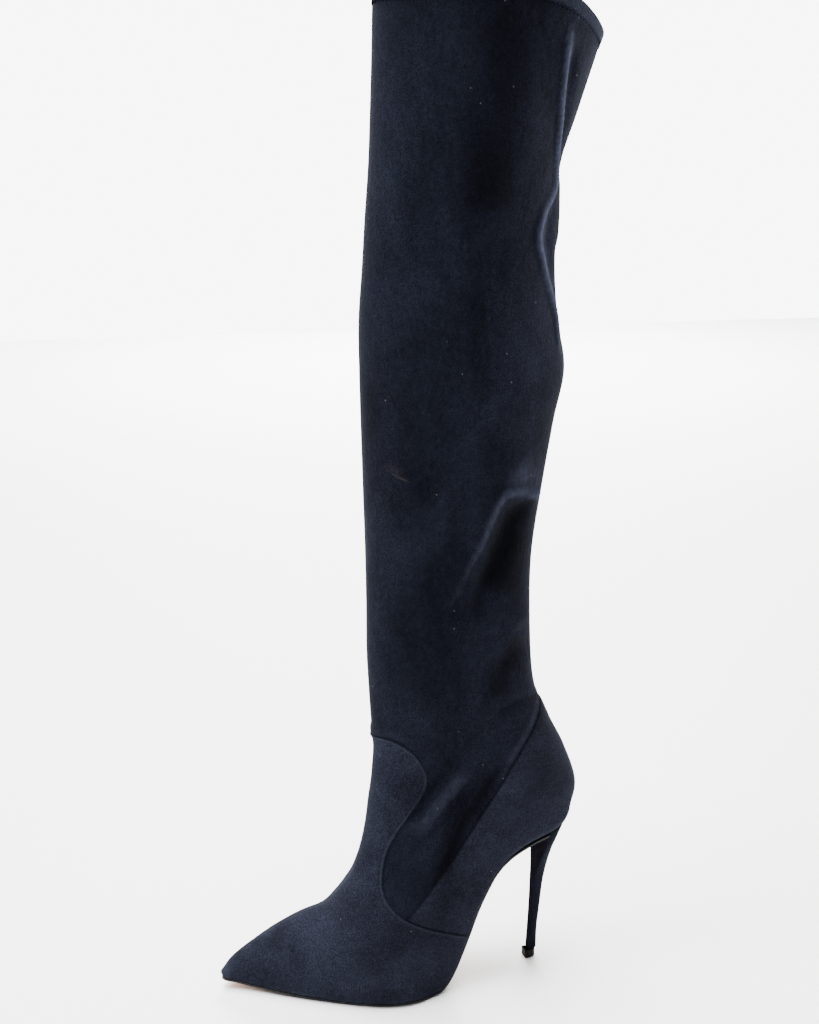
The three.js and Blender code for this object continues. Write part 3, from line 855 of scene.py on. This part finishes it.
class BootSizes(bpy.types.PropertyGroup):
    """Sizes that a user would change."""

    foot_length: length("Foot length", 245, "Back of the seat to the toe tip")
    heel_height: length("Heel height", 104, "Floor to the underside of the seat")
    heel_set: length("Heel set", 28, "Heel tip forward of the back of the seat")
    ball_width: length("Ball width", 82, "Foot at its widest")
    joint_height: length("Joint height", 50, "Top of the foot ahead of the ball")
    toe_spring: length("Toe spring", 6, "Toe tip over the floor")
    toe_swing: length("Toe swing", 14.5, "Toe tip towards the big toe")
    tab_height: length("Tab height", 180, "Top of the vamp's tab over the floor")
    shaft_height: length("Shaft height", 549, "Seat to the collar's front")
    collar_dip: length("Collar dip", 27, "Collar's back under its front")
    ankle_depth: length("Ankle depth", 112, "Front to back at the ankle")
    ankle_width: length("Ankle width", 70, "Side to side at the ankle")
    calf_depth: length("Calf depth", 134, "Front to back at the calf")
    calf_width: length("Calf width", 94, "Side to side at the calf")
    collar_depth: length("Collar depth", 150, "Front to back at the collar")
    collar_width: length("Collar width", 104, "Side to side at the collar")
    leg_set: length("Leg set", 82, "Leg's middle line forward of the back of the seat")
    wall: length("Wall", 1.5, "Stretch suede with its lining")
    overlay: length("Overlay", 1.1, "Suede of the vamp and the counter")
    gap: length("Gap", 0.3, "Room between pieces that meet")
    hem_height: length("Hem height", 9.5, "Turned-in hem at the collar")
    hem_thickness: length("Hem thickness", 1.2, "Inner turn of the hem")
    sole_thickness: length("Sole thickness", 2.2, "Outsole")
    insole_thickness: length("Insole thickness", 1.8, "Sock inside")
    stem_width: length("Stem width", 7.4, "Heel at its thinnest")
    top_width: length("Top width", 41, "Heel under the seat, side to side")
    heel_depth: length("Heel depth", 19, "Heel under the seat, front to back")
    heel_lean: length("Heel lean", 7.4, "How far the breast moves back on its way up")
    tip_height: length("Tip height", 6, "Top piece under the heel")
    tip_size: length("Tip size", 8.2, "Top piece, across")
    stitch_length: length("Stitch length", 2.5, "Topstitch of the panels")
    stitch_inset: length("Stitch inset", 2.1, "Topstitch from the panel's edge")
    crease_depth: FloatProperty(
        name="Crease depth", description="Share of the creases' depth", default=1, min=0, subtype="FACTOR"
    )


class BootFinish(bpy.types.PropertyGroup):
    """Colours that a user would change."""

    floor: FloatVectorProperty(
        name="Floor", description="Colour of the studio floor", default=(0.94, 0.94, 0.945),
        subtype="COLOR", min=0, max=1,
    )


# Pieces


def make_leg(context):
    """Leg and sock of the upper: one shell from the feather edge to the turned collar."""
    last = Last(context.scene.boot_sizes)
    s = last.sizes
    columns, rows, roll_rows = 150, 292, 8
    piece = flat_pattern("leg_upper", columns, rows + roll_rows, (-0.5, 0.5), (0, 1))
    # Columns stand closer at the outer back, where the sharp folds are
    co = read_points(piece)
    crowded, crowding = 0.38, 0.42
    wave = np.sin(TAU * (co[:, 0] - crowded)) - math.sin(TAU * (0.5 - crowded))
    co[:, 0] -= crowding / TAU * wave
    # Rows run up to the collar's own line, and the last few go over its rolled edge
    step = rows / (rows + roll_rows)
    share = np.minimum(co[:, 1] / step, 1)
    over = np.clip((co[:, 1] - step) / (1 - step), 0, 1)
    top = last.collar_row(co[:, 0])
    straight = last.last_row - 0.6
    pull = ease(0.75, 1, share)
    co[:, 1] = share * straight + pull * (top - straight) + over
    write_points(piece, co)
    roll = (s.wall + s.gap + s.hem_thickness) / 2
    # Only the foot is scored and cut, and its rows stay clear of the collar's

    def sole_edge(row, turn):
        return np.where(row > 18, 1, last.bottom_distance(np.minimum(row, 18), turn))

    cut_pattern(piece, (-0.5, 0.5), [(sole_edge, 0, True, False)])
    co = read_points(piece)
    turn, row = co[:, 0], co[:, 1]
    top = last.collar_row(turn)
    rolled = np.clip(row - top, 0, 1)
    edge = np.minimum(row, top)
    flat = last.surface(edge, turn, np.zeros(len(row)))
    out = last.normal(edge, turn)
    below = last.surface(edge - 0.1, turn, np.zeros(len(row)))
    rise = flat - below
    rise /= np.linalg.norm(rise, axis=1, keepdims=True)
    # The last stretch under the edge leaves room for the roll's height
    under = np.linalg.norm(last.point(top, turn) - last.point(edge, turn), axis=1)
    drop = roll * np.clip(1 - under / (4 * roll), 0, 1)
    angle = rolled * math.radians(215)
    # The hem is two layers thick and drawn in along its stitches
    hem = 0.5 * MM * (1 - ease(s.hem_height - 1.5 * MM, s.hem_height, under))
    hem -= 0.35 * MM * np.exp(-(((under - s.hem_height) / (1.8 * MM)) ** 2))
    # The stretch suede stands up a little along the counter's seam
    beside = -last.counter_distance(np.minimum(row, 20.5), turn) - 3.2 * MM
    welt = np.exp(-((beside / (2.2 * MM)) ** 2)) * ease(13.5, 15, row) * (1 - ease(19.5, 20.5, row))
    centre = flat - rise * drop[:, None] + out * (hem + 0.5 * MM * welt)[:, None]
    bent = centre + out * (roll * (np.cos(angle) - 1))[:, None] + rise * (roll * np.sin(angle))[:, None]
    write_points(piece, np.where((rolled > 0)[:, None], bent, centre))
    form = last.point(edge, turn)
    # Painted highlight on the hem's band and the counter's welt, painted shade along the hem's stitches
    band = 0.25 * (1 - ease(s.hem_height - 3 * MM, s.hem_height - 1 * MM, under))
    band -= 0.7 * np.exp(-(((under - s.hem_height) / (1.7 * MM)) ** 2))
    add_attribute(piece, "wear_and_painted_light", last.folds(form)[1] + 0.3 * welt + band)
    close_seams(piece)
    thicken(piece, 0.85 * s.wall, inner_material=1)
    piece.data.materials.append(leg_suede())
    piece.data.materials.append(lining())
    soften(piece, 60)
    dress(piece, "stretch_suede", "upper")
    return piece


# How a panel rises from an edge: distance from it in mm, and share of the panel's full height.
FOLDED_EDGE = (
    (0, 0.3), (0.3, 0.75), (0.75, 1.04), (1.3, 1.1), (1.8, 0.98), (2.1, 0.84), (2.4, 0.92), (3.2, 1),
)
SKIVED_EDGE = ((0, 0.3), (0.3, 0.52), (0.8, 0.62), (1.4, 0.72), (2.4, 0.86), (4, 1))
FEATHER_EDGE = ((0, 0.25), (0.5, 0.5), (1.3, 0.72), (3, 0.92), (5, 1))


def make_panel(last, name, node, grid, turns, rows, reach, edge, panel_wear_and_painted_light, inset=0.0):
    """A suede overlay: a flat pattern cut along its seam, pulled over the last and thinned at its edges.

    reach gives the distance from the seam, edge the table by which the panel rises there, and the next
    function how far its nap is lightened, with wear and painted highlight, or darkened with painted shade,
    from its row and that distance. Returns the line of its stitches, if it has an inset.
    """
    s = last.sizes
    piece = flat_pattern(name, *grid, turns, rows)
    lines = [(last.bottom_distance, 0, True, False), (reach, 0, True, False)]
    lines += [(reach, at * MM, False, False) for at, _ in edge[1:] if abs(at * MM - inset) > 0.01 * MM]
    lines += [(last.bottom_distance, at * MM, False, False) for at, _ in FEATHER_EDGE[1:3]]
    if inset:
        lines.append((reach, inset, False, True))
    kept = cut_pattern(piece, turns, lines)
    co = read_points(piece)
    turn, row = co[:, 0], co[:, 1]
    seam = reach(row, turn)
    full = s.gap + s.overlay
    lifts = []
    for table, distance in ((edge, seam), (FEATHER_EDGE, last.bottom_distance(row, turn))):
        at, share = np.array(table).T
        lifts.append(np.interp(distance, at * MM, full * share))
    lift = np.minimum(*lifts)
    write_points(piece, last.surface(row, turn, lift))
    # Painted highlight and painted shade of the creases and the edge, partly wear
    add_attribute(piece, "wear_and_painted_light", last.folds(last.point(row, turn))[1] + panel_wear_and_painted_light(row, seam))
    add_attribute(piece, "share", np.clip((lift - s.gap * 0.5) / full, 0.02, 1))
    close_seams(piece)
    # Each corner's share of the panel's height gives the wall its thickness there
    shares = np.zeros(len(piece.data.vertices), np.float32)
    piece.data.attributes["share"].data.foreach_get("value", shares)
    piece.data.attributes.remove(piece.data.attributes["share"])
    thicken(piece, full, shares)
    piece.data.materials.append(panel_suede())
    soften(piece, 60)
    dress(piece, "suede", node)
    return kept


def make_vamp(context):
    """Vamp and tab: a suede overlay with a folded, topstitched edge; painted highlight there and at the
    worn toe tip.
    """
    last = Last(context.scene.boot_sizes)

    def panel_wear_and_painted_light(row, seam):
        # Wear and a painted highlight at the toe tip, and a painted highlight on the folded edge's rim
        return 0.5 * (1 - ease(0.5, 2.2, row)) + 0.25 * np.exp(-((seam / MM - 1) ** 2))

    grid, turns, rows = (210, 190), (-0.5, 0.5), (0, 18)
    reach, inset = last.vamp_distance, last.sizes.stitch_inset
    return make_panel(last, "suede_vamp", "vamp", grid, turns, rows, reach, FOLDED_EDGE, panel_wear_and_painted_light, inset)


def make_counter(context):
    """Counter: a suede overlay round the heel, with a slanting front seam and painted shade along its cut
    edge.
    """
    last = Last(context.scene.boot_sizes)

    def reach(row, turn):
        return np.minimum(last.counter_distance(row, turn), -last.vamp_distance(row, turn) - last.sizes.gap)

    def panel_wear_and_painted_light(row, seam):
        # Painted shade along the front seam, darkest at the panel's cut edge
        return -0.8 * (1 - ease(0.4 * MM, 1.6 * MM, seam))

    grid, turns, rows = (150, 190), (0.12, 0.88), (6, 20.5)
    make_panel(last, "suede_counter", "counter", grid, turns, rows, reach, SKIVED_EDGE, panel_wear_and_painted_light)


def stitch_line(last, line, lift, pitch):
    """Places for stitches along a line of (turn, row) points: middle, way along and way out."""
    turn, row = line[:, 0], line[:, 1]
    path = last.surface(row, turn, np.full(len(row), lift))
    lengths = np.concatenate([[0], np.cumsum(np.linalg.norm(np.diff(path, axis=0), axis=1))])
    count = max(int(lengths[-1] / pitch), 2)
    at = (np.arange(count) + 0.5) * lengths[-1] / count

    def sample(values, where):
        return np.stack([np.interp(where, lengths, values[:, k]) for k in range(values.shape[1])], 1)

    middle = sample(path, at)
    along = sample(path, at + 0.3 * pitch) - sample(path, at - 0.3 * pitch)
    along /= np.maximum(np.linalg.norm(along, axis=1, keepdims=True), 1e-9)
    out = sample(last.normal(row, turn), at)
    out /= np.linalg.norm(out, axis=1, keepdims=True)
    return middle, along, out


def sew(name, places, long, thick, material, slot):
    """One stitch, modelled once, copied to every place and joined."""
    deselect_all()
    bpy.ops.mesh.primitive_uv_sphere_add(segments=8, ring_count=6, radius=0.5, location=(0, 0, 0))
    stitch = bpy.context.object
    base = read_points(stitch)
    faces = [tuple(p.vertices) for p in stitch.data.polygons]
    bpy.data.objects.remove(stitch)
    # A capsule along x with pulled-down ends
    base = base[:, [2, 0, 1]]
    base[:, 0] = np.sign(base[:, 0]) * np.abs(base[:, 0] * 2) ** 0.6 / 2
    base *= np.array([long, thick, 0.7 * thick])
    middle, along, out = (np.concatenate(part) for part in zip(*places))
    across = np.cross(out, along)
    across /= np.linalg.norm(across, axis=1, keepdims=True)
    points = (
        middle[:, None] + base[None, :, 0:1] * along[:, None]
        + base[None, :, 1:2] * across[:, None] + base[None, :, 2:3] * np.cross(along, across)[:, None]
    )
    count = len(base)
    all_faces = [tuple(k * count + v for v in face) for k in range(len(middle)) for face in faces]
    mesh = bpy.data.meshes.new(name)
    mesh.from_pydata(points.reshape(-1, 3).tolist(), [], all_faces)
    piece = bpy.data.objects.new(name, mesh)
    bpy.context.scene.collection.objects.link(piece)
    mesh.materials.append(material)
    soften(piece, 60)
    dress(piece, slot)
    return piece


def make_stitches(context, vamp_lines):
    """Topstitch of the vamp, and the zigzag of the hem."""
    last = Last(context.scene.boot_sizes)
    s = last.sizes
    lift = s.gap + 0.86 * s.overlay
    vamp = [stitch_line(last, line, lift, s.stitch_length) for line in vamp_lines]
    sew("vamp_stitches", vamp, 0.82 * s.stitch_length, 0.55 * MM, thread(), "suede")
    # The hem's zigzag swings 1.4 mm to each side of its line
    count = 2 * int(0.41 / 0.0032)
    turn = np.linspace(-0.5, 0.5, 6 * count, endpoint=False)
    path = last.surface(last.collar_row(turn, s.hem_height), turn, np.full(len(turn), 0.05 * MM))
    lengths = np.concatenate([[0], np.cumsum(np.linalg.norm(np.diff(path, axis=0), axis=1))])
    at = np.linspace(0, lengths[-1], count + 1)
    turns = np.interp(at, lengths, turn)
    swing = np.where(np.arange(count + 1) % 2, 1, -1) * 1.4 * MM
    ends = []
    for k in range(count + 1):
        at_turn = turns[k : k + 1]
        at_row = last.collar_row(at_turn, s.hem_height + swing[k])
        ends.append(last.surface(at_row, at_turn, np.array([0.1 * MM]))[0])
    ends = np.array(ends)
    along = ends[1:] - ends[:-1]
    long = np.linalg.norm(along, axis=1)
    middle = (ends[1:] + ends[:-1]) / 2
    half = (turns[1:] + turns[:-1]) / 2
    out = last.normal(last.collar_row(half, s.hem_height), half)
    hem = [(middle, along / long[:, None], out)]
    sew("hem_stitches", hem, float(np.median(long)), 0.75 * MM, hem_thread(), "stretch_suede")


def make_hem(context):
    """Inner turn of the collar's hem: a band inside the upper."""
    last = Last(context.scene.boot_sizes)
    s = last.sizes
    outer = -(s.wall + s.gap)
    inner = outer - s.hem_thickness
    columns, rows = 180, 36
    piece = flat_pattern("turned_hem", columns, rows, (-0.5, 0.5), (0, 1))
    co = read_points(piece)
    turn = co[:, 0]
    # The pattern's rows go round the band's section: down its outer face and up its inner one
    high, low = 1.2 * MM, s.hem_height
    way = co[:, 1] * TAU
    depth = (high + low) / 2 - (low - high) / 2 * np.sign(np.cos(way)) * np.abs(np.cos(way)) ** 0.35
    lift = (outer + inner) / 2 + s.hem_thickness / 2 * np.sign(np.sin(way)) * np.abs(np.sin(way)) ** 0.35
    unique, back = np.unique(np.round(turn, 6), return_inverse=True)
    levels = np.linspace(0, low + MM, 14)
    table = np.stack([last.collar_row(unique, level) for level in levels], 1)
    row = np.array([np.interp(d, levels, table[k]) for d, k in zip(depth, back)])
    write_points(piece, last.surface(row, turn, lift))
    close_seams(piece)
    recalculate(piece)
    piece.data.materials.append(leg_suede())
    soften(piece, 60)
    dress(piece, "stretch_suede", "collar_hem")


def sole_plate(name, last, grow, low, high, columns, rows, round_edge, back_limit=None):
    """A plate that follows the sole's line, with the form's outline. Its pattern's columns go round its
    section, under it and back over it, and its rows go from the toe to the back."""
    piece = flat_pattern(name, columns, rows, (0, 1), (0, 1))
    co = read_points(piece)
    back = last.back_row(grow, (low + high) / 2)
    share = 1 - (1 - co[:, 1]) ** 1.5 if back_limit is None else co[:, 1]
    row = np.maximum(share * back, 0.01)
    key, where = np.unique(np.round(row, 7), return_inverse=True)
    edges = []
    for side in (1, -1):
        turns = last.edge_turn(key, side, grow, (low + high) / 2)
        edges.append(last.point(key, turns) + grow * last.normal(key, turns))
    outer, inner = edges[0][where], edges[1][where]
    way = co[:, 0] * TAU
    # Square section with rounded ends
    across = np.sign(np.cos(way)) * np.abs(np.cos(way)) ** 0.5
    up = np.sign(np.sin(way)) * np.abs(np.sin(way)) ** 0.25
    middle = (outer + inner) / 2
    half = (outer - inner) / 2
    tuck = 1 - round_edge / np.maximum(np.linalg.norm(half, axis=1), 1e-4) * np.abs(up) ** 6
    flat = middle + half * (across * np.clip(tuck, 0.3, 1))[:, None]
    y = flat[:, 1]
    if back_limit is not None:
        y = np.minimum(y, back_limit)
    level = (low + high) / 2 + (high - low) / 2 * up
    z = last.sole_level(y, level)
    write_points(piece, np.stack([flat[:, 0], y, z], 1))
    add_attribute(piece, "under", -np.sin(way))
    close_seams(piece, 0.01 * MM)
    fill_holes(piece)
    recalculate(piece)
    return piece


def fill_holes(piece):
    select_only(piece)
    bpy.ops.object.mode_set(mode="EDIT")
    bpy.ops.mesh.select_all(action="DESELECT")
    bpy.ops.mesh.select_mode(type="EDGE")
    bpy.ops.mesh.select_non_manifold(extend=False, use_wire=False, use_boundary=True, use_multi_face=False)
    if any(e.select for e in bmesh.from_edit_mesh(piece.data).edges):
        bpy.ops.mesh.fill(use_beauty=True)
    bpy.ops.mesh.select_mode(type="VERT")
    bpy.ops.object.mode_set(mode="OBJECT")


def make_outsole(context):
    """Outsole: thin leather with an inked edge and a pale underside."""
    last = Last(context.scene.boot_sizes)
    s = last.sizes
    breast = s.heel_lean - 0.02 * s.heel_height - s.gap
    piece = sole_plate("leather_outsole", last, 0.8 * MM, 0, s.sole_thickness, 72, 200, 0.5 * MM, breast)
    ink = plain_hide("sole edge, inked", "#08080a", "#111114", 0.5, 700, 0.15, 0.2)
    hide = plain_hide("sole leather, buffed", "#b98f72", "#a67c60", 0.55, 500, 0.2)
    piece.data.materials.append(ink)
    piece.data.materials.append(hide)
    under = np.zeros(len(piece.data.vertices), np.float32)
    piece.data.attributes["under"].data.foreach_get("value", under)
    for face in piece.data.polygons:
        face.material_index = int(under[list(face.vertices)].mean() > 0.75)
    soften(piece, 40)
    dress(piece, "sole_leather", "outsole")


def make_insole(context):
    """Insole: a thin sock on the seat, shank and tread."""
    last = Last(context.scene.boot_sizes)
    s = last.sizes
    low = last.upper_bottom
    high = low + s.insole_thickness
    piece = sole_plate("sock_insole", last, -(s.wall + s.gap), low, high, 56, 150, 0.3 * MM)
    piece.data.materials.append(lining())
    soften(piece, 40)
    dress(piece, "lining", "insole")


def d_loop(around, corner):
    """A D-shaped loop of unit half width and unit depth, with rounded corners, from the breast's middle."""
    angles = np.linspace(0, math.pi, around)
    curve = np.stack([np.cos(angles), np.sin(angles)], 1)
    breast = np.linspace(-1, 1, around // 2 + 2)[1:-1]
    loop = np.concatenate([curve, np.stack([breast, np.zeros(len(breast))], 1)])
    for _ in range(corner):
        loop = (np.roll(loop, 1, 0) + 2 * loop + np.roll(loop, -1, 0)) / 4
    return loop


def make_heel(context):
    """Heel: a moulded stiletto in a suede cover, with a flat breast."""
    last = Last(context.scene.boot_sizes)
    s = last.sizes
    around, rows = 40, 110
    loop = d_loop(around, 2)
    piece = flat_pattern("covered_heel", len(loop), rows, (0, 1), (0, 1))
    co = read_points(piece)
    column = np.round(co[:, 0] * len(loop)).astype(int) % len(loop)
    table = np.asarray(HEEL_ROWS, float)
    breast_front = -0.28 * s.stem_width

    def heel_point(place, column):
        up, breast, back, half = np.moveaxis(through(table, place), -1, 0)
        x = half * s.top_width * loop[column, 0]
        y = breast_front + breast * s.heel_lean + back * s.heel_depth * loop[column, 1]
        return np.stack([x, y, up * s.heel_height], -1)

    fine = np.linspace(0, len(table) - 1, 400)
    start = fine[np.flatnonzero(heel_point(fine, np.zeros(400, int))[:, 2] >= s.tip_height + s.gap)[0]]
    low = np.full(len(loop), start)
    high = np.full(len(loop), len(table) - 1.0)
    for _ in range(40):
        middle = (low + high) / 2
        at = heel_point(middle, np.arange(len(loop)))
        over = at[:, 2] > last.sole_level(at[:, 1], s.sole_thickness)
        high = np.where(over, middle, high)
        low = np.where(over, low, middle)
    place = start + (low[column] - start) * co[:, 1]
    write_points(piece, heel_point(place, column))
    close_seams(piece)
    fill_holes(piece)
    recalculate(piece)
    piece.data.materials.append(leg_suede())
    # The breast, the faces turned to the front, gets a darker, sheenless copy of the suede: painted shade
    breast = plain_hide("heel breast, suede with painted shade", "#101117", "#15161d", 0.9, 700, 0.15, 0.0)
    piece.data.materials.append(breast)
    for face in piece.data.polygons:
        face.material_index = int(face.normal.y < -0.6)
    soften(piece, 35)
    dress(piece, "suede", "heel")


def make_tip(context):
    """Top piece: a block of hard rubber under the heel, a little proud of the cover at its front."""
    s = context.scene.boot_sizes
    loop = d_loop(28, 1)
    heights = (0, 0.15, 0.6, 2, 4.4, 5.2, 5.8, 6)
    insets = (0.45, 0.12, 0, 0, 0, -0.12, 0.05, 0.35)
    piece = flat_pattern("rubber_tip", len(loop), len(heights) - 1, (0, 1), (0, 1))
    co = read_points(piece)
    column = np.round(co[:, 0] * len(loop)).astype(int) % len(loop)
    level = np.round(co[:, 1] * (len(heights) - 1)).astype(int)
    half = s.tip_size / 2 - np.array(insets)[level] * MM
    height = np.array(heights)[level] / 6 * s.tip_height
    x = half * loop[column, 0]
    y = -half + 2 * half * loop[column, 1]
    write_points(piece, np.stack([x, y, height], 1))
    close_seams(piece)
    fill_holes(piece)
    recalculate(piece)
    rubber = plain_hide("nitrile rubber, moulded", "#0e0b0b", "#1a1514", 0.7, 900, 0.25, 0.08)
    piece.data.materials.append(rubber)
    soften(piece, 40)
    dress(piece, "rubber", "heel_tip")


def make_stage(context):
    """Pale floor, soft studio light and the camera at the photograph's angle."""
    deselect_all()
    bpy.ops.mesh.primitive_plane_add(size=8, location=(0, 0, 0))
    floor = bpy.context.object
    floor.name = "studio_floor"
    paint, tree = new_material("studio floor, painted")
    colour = [*context.scene.boot_finish.floor, 1]
    shader = add_node(tree, "BsdfPrincipled", {"Base Color": colour, "Roughness": 0.55})
    tree.links.new(shader.outputs[0], add_node(tree, "OutputMaterial").inputs[0])
    floor.data.materials.append(paint)
    world = bpy.data.worlds.new("studio")
    context.scene.world = world
    world.use_nodes = True
    sky = world.node_tree
    # The sky is bright behind the boot, paler in a low band all round, and dim over it
    way = add_node(sky, "TexCoord").outputs["Generated"]
    facing = add_node(sky, "VectorMath", {1: (-0.966, 0.259, 0)}, {0: way}, operation="DOT_PRODUCT")
    height = add_node(sky, "SeparateXYZ", links={0: way}).outputs["Z"]
    behind = remap(sky, facing.outputs["Value"], 0.84, 0.95, 0, 7)
    band = remap(sky, height, 0.08, 0.3, 1.25, 0.25)
    backdrop = sky.nodes["Background"]
    backdrop.inputs["Color"].default_value = (0.98, 0.98, 1, 1)
    total = add_node(sky, "Math", links={0: behind, 1: band}, operation="ADD")
    sky.links.new(total.outputs[0], backdrop.inputs["Strength"])
    for name, place, aim, size, spread, power in (
        ("front softbox", (0.15, -1.8, 1.8), (0, -0.06, 0.3), 1.0, 180, 60),
        ("thigh softbox", (-0.02, 0.85, 0.75), (0, 0.02, 0.58), 0.3, 36, 1.3),
        ("top softbox", (-0.3, -0.3, 3.0), (0, -0.06, 0.3), 2.6, 180, 420),
        ("backdrop softbox", (-3.4, 0.9, 2.0), (-3.6, 0.95, 0), 2.5, 180, 560),
    ):
        bpy.ops.object.light_add(type="AREA", location=place)
        light = bpy.context.object
        light.name = name
        light.data.shape = "DISK"
        light.data.size = size
        light.data.energy = power
        light.data.spread = math.radians(spread)
        light.rotation_euler = (Vector(aim) - Vector(place)).to_track_quat("-Z", "Y").to_euler()
    bpy.ops.object.camera_add(location=(0.9439, -0.3409, 0.554))
    camera = bpy.context.object
    camera.name = "photo_camera"
    camera.rotation_euler = (math.radians(90 - 12.94), 0, math.radians(75))
    camera.data.sensor_width = 36
    camera.data.lens = 1540 * 36 / 1024
    camera.data.clip_start = 0.05
    context.scene.camera = camera


SEAM_LINES = {}


class BOOT_OT_leg(bpy.types.Operator):
    """Make the leg and sock of the upper"""

    bl_idname = "boot.leg"
    bl_label = "Upper"

    def execute(self, context):
        make_leg(context)
        return {"FINISHED"}


class BOOT_OT_vamp(bpy.types.Operator):
    """Make the vamp and its tab"""

    bl_idname = "boot.vamp"
    bl_label = "Vamp"

    def execute(self, context):
        SEAM_LINES["vamp"] = make_vamp(context)
        return {"FINISHED"}


class BOOT_OT_counter(bpy.types.Operator):
    """Make the heel counter"""

    bl_idname = "boot.counter"
    bl_label = "Counter"

    def execute(self, context):
        make_counter(context)
        return {"FINISHED"}


class BOOT_OT_hem(bpy.types.Operator):
    """Make the collar's turned hem"""

    bl_idname = "boot.hem"
    bl_label = "Collar hem"

    def execute(self, context):
        make_hem(context)
        return {"FINISHED"}


class BOOT_OT_stitches(bpy.types.Operator):
    """Sew the vamp and the hem"""

    bl_idname = "boot.stitches"
    bl_label = "Stitches"

    def execute(self, context):
        make_stitches(context, SEAM_LINES["vamp"])
        return {"FINISHED"}


class BOOT_OT_soles(bpy.types.Operator):
    """Make the outsole and the insole"""

    bl_idname = "boot.soles"
    bl_label = "Outsole and insole"

    def execute(self, context):
        make_outsole(context)
        make_insole(context)
        return {"FINISHED"}


class BOOT_OT_heel(bpy.types.Operator):
    """Make the covered heel and its rubber tip"""

    bl_idname = "boot.heel"
    bl_label = "Heel and tip"

    def execute(self, context):
        make_heel(context)
        make_tip(context)
        return {"FINISHED"}


class BOOT_OT_stage(bpy.types.Operator):
    """Set the floor, the lights and the camera"""

    bl_idname = "boot.stage"
    bl_label = "Stage"

    def execute(self, context):
        make_stage(context)
        return {"FINISHED"}


OPERATORS = (
    BOOT_OT_leg, BOOT_OT_vamp, BOOT_OT_counter, BOOT_OT_hem, BOOT_OT_stitches, BOOT_OT_soles, BOOT_OT_heel,
    BOOT_OT_stage,
)


class BOOT_PT_panel(bpy.types.Panel):
    """The boot's sizes and the buttons that make its pieces"""

    bl_idname = "BOOT_PT_panel"
    bl_label = "Over-the-knee boot"
    bl_space_type = "VIEW_3D"
    bl_region_type = "UI"
    bl_category = "Boot"

    def draw(self, context):
        for group in (context.scene.boot_sizes, context.scene.boot_finish):
            for name in group.bl_rna.properties.keys():
                if name not in ("rna_type", "name"):
                    self.layout.prop(group, name)
        for operator in OPERATORS:
            self.layout.operator(operator.bl_idname)


CLASSES = (BootSizes, BootFinish, *OPERATORS, BOOT_PT_panel)


def register():
    for made in CLASSES:
        bpy.utils.register_class(made)
    bpy.types.Scene.boot_sizes = PointerProperty(type=BootSizes)
    bpy.types.Scene.boot_finish = PointerProperty(type=BootFinish)


def unregister():
    del bpy.types.Scene.boot_finish
    del bpy.types.Scene.boot_sizes
    for made in reversed(CLASSES):
        bpy.utils.unregister_class(made)


def main():
    register()
    bpy.ops.boot.leg()
    bpy.ops.boot.vamp()
    bpy.ops.boot.counter()
    bpy.ops.boot.hem()
    bpy.ops.boot.stitches()
    bpy.ops.boot.soles()
    bpy.ops.boot.heel()
    bpy.ops.boot.stage()


if __name__ == "__main__":
    main()
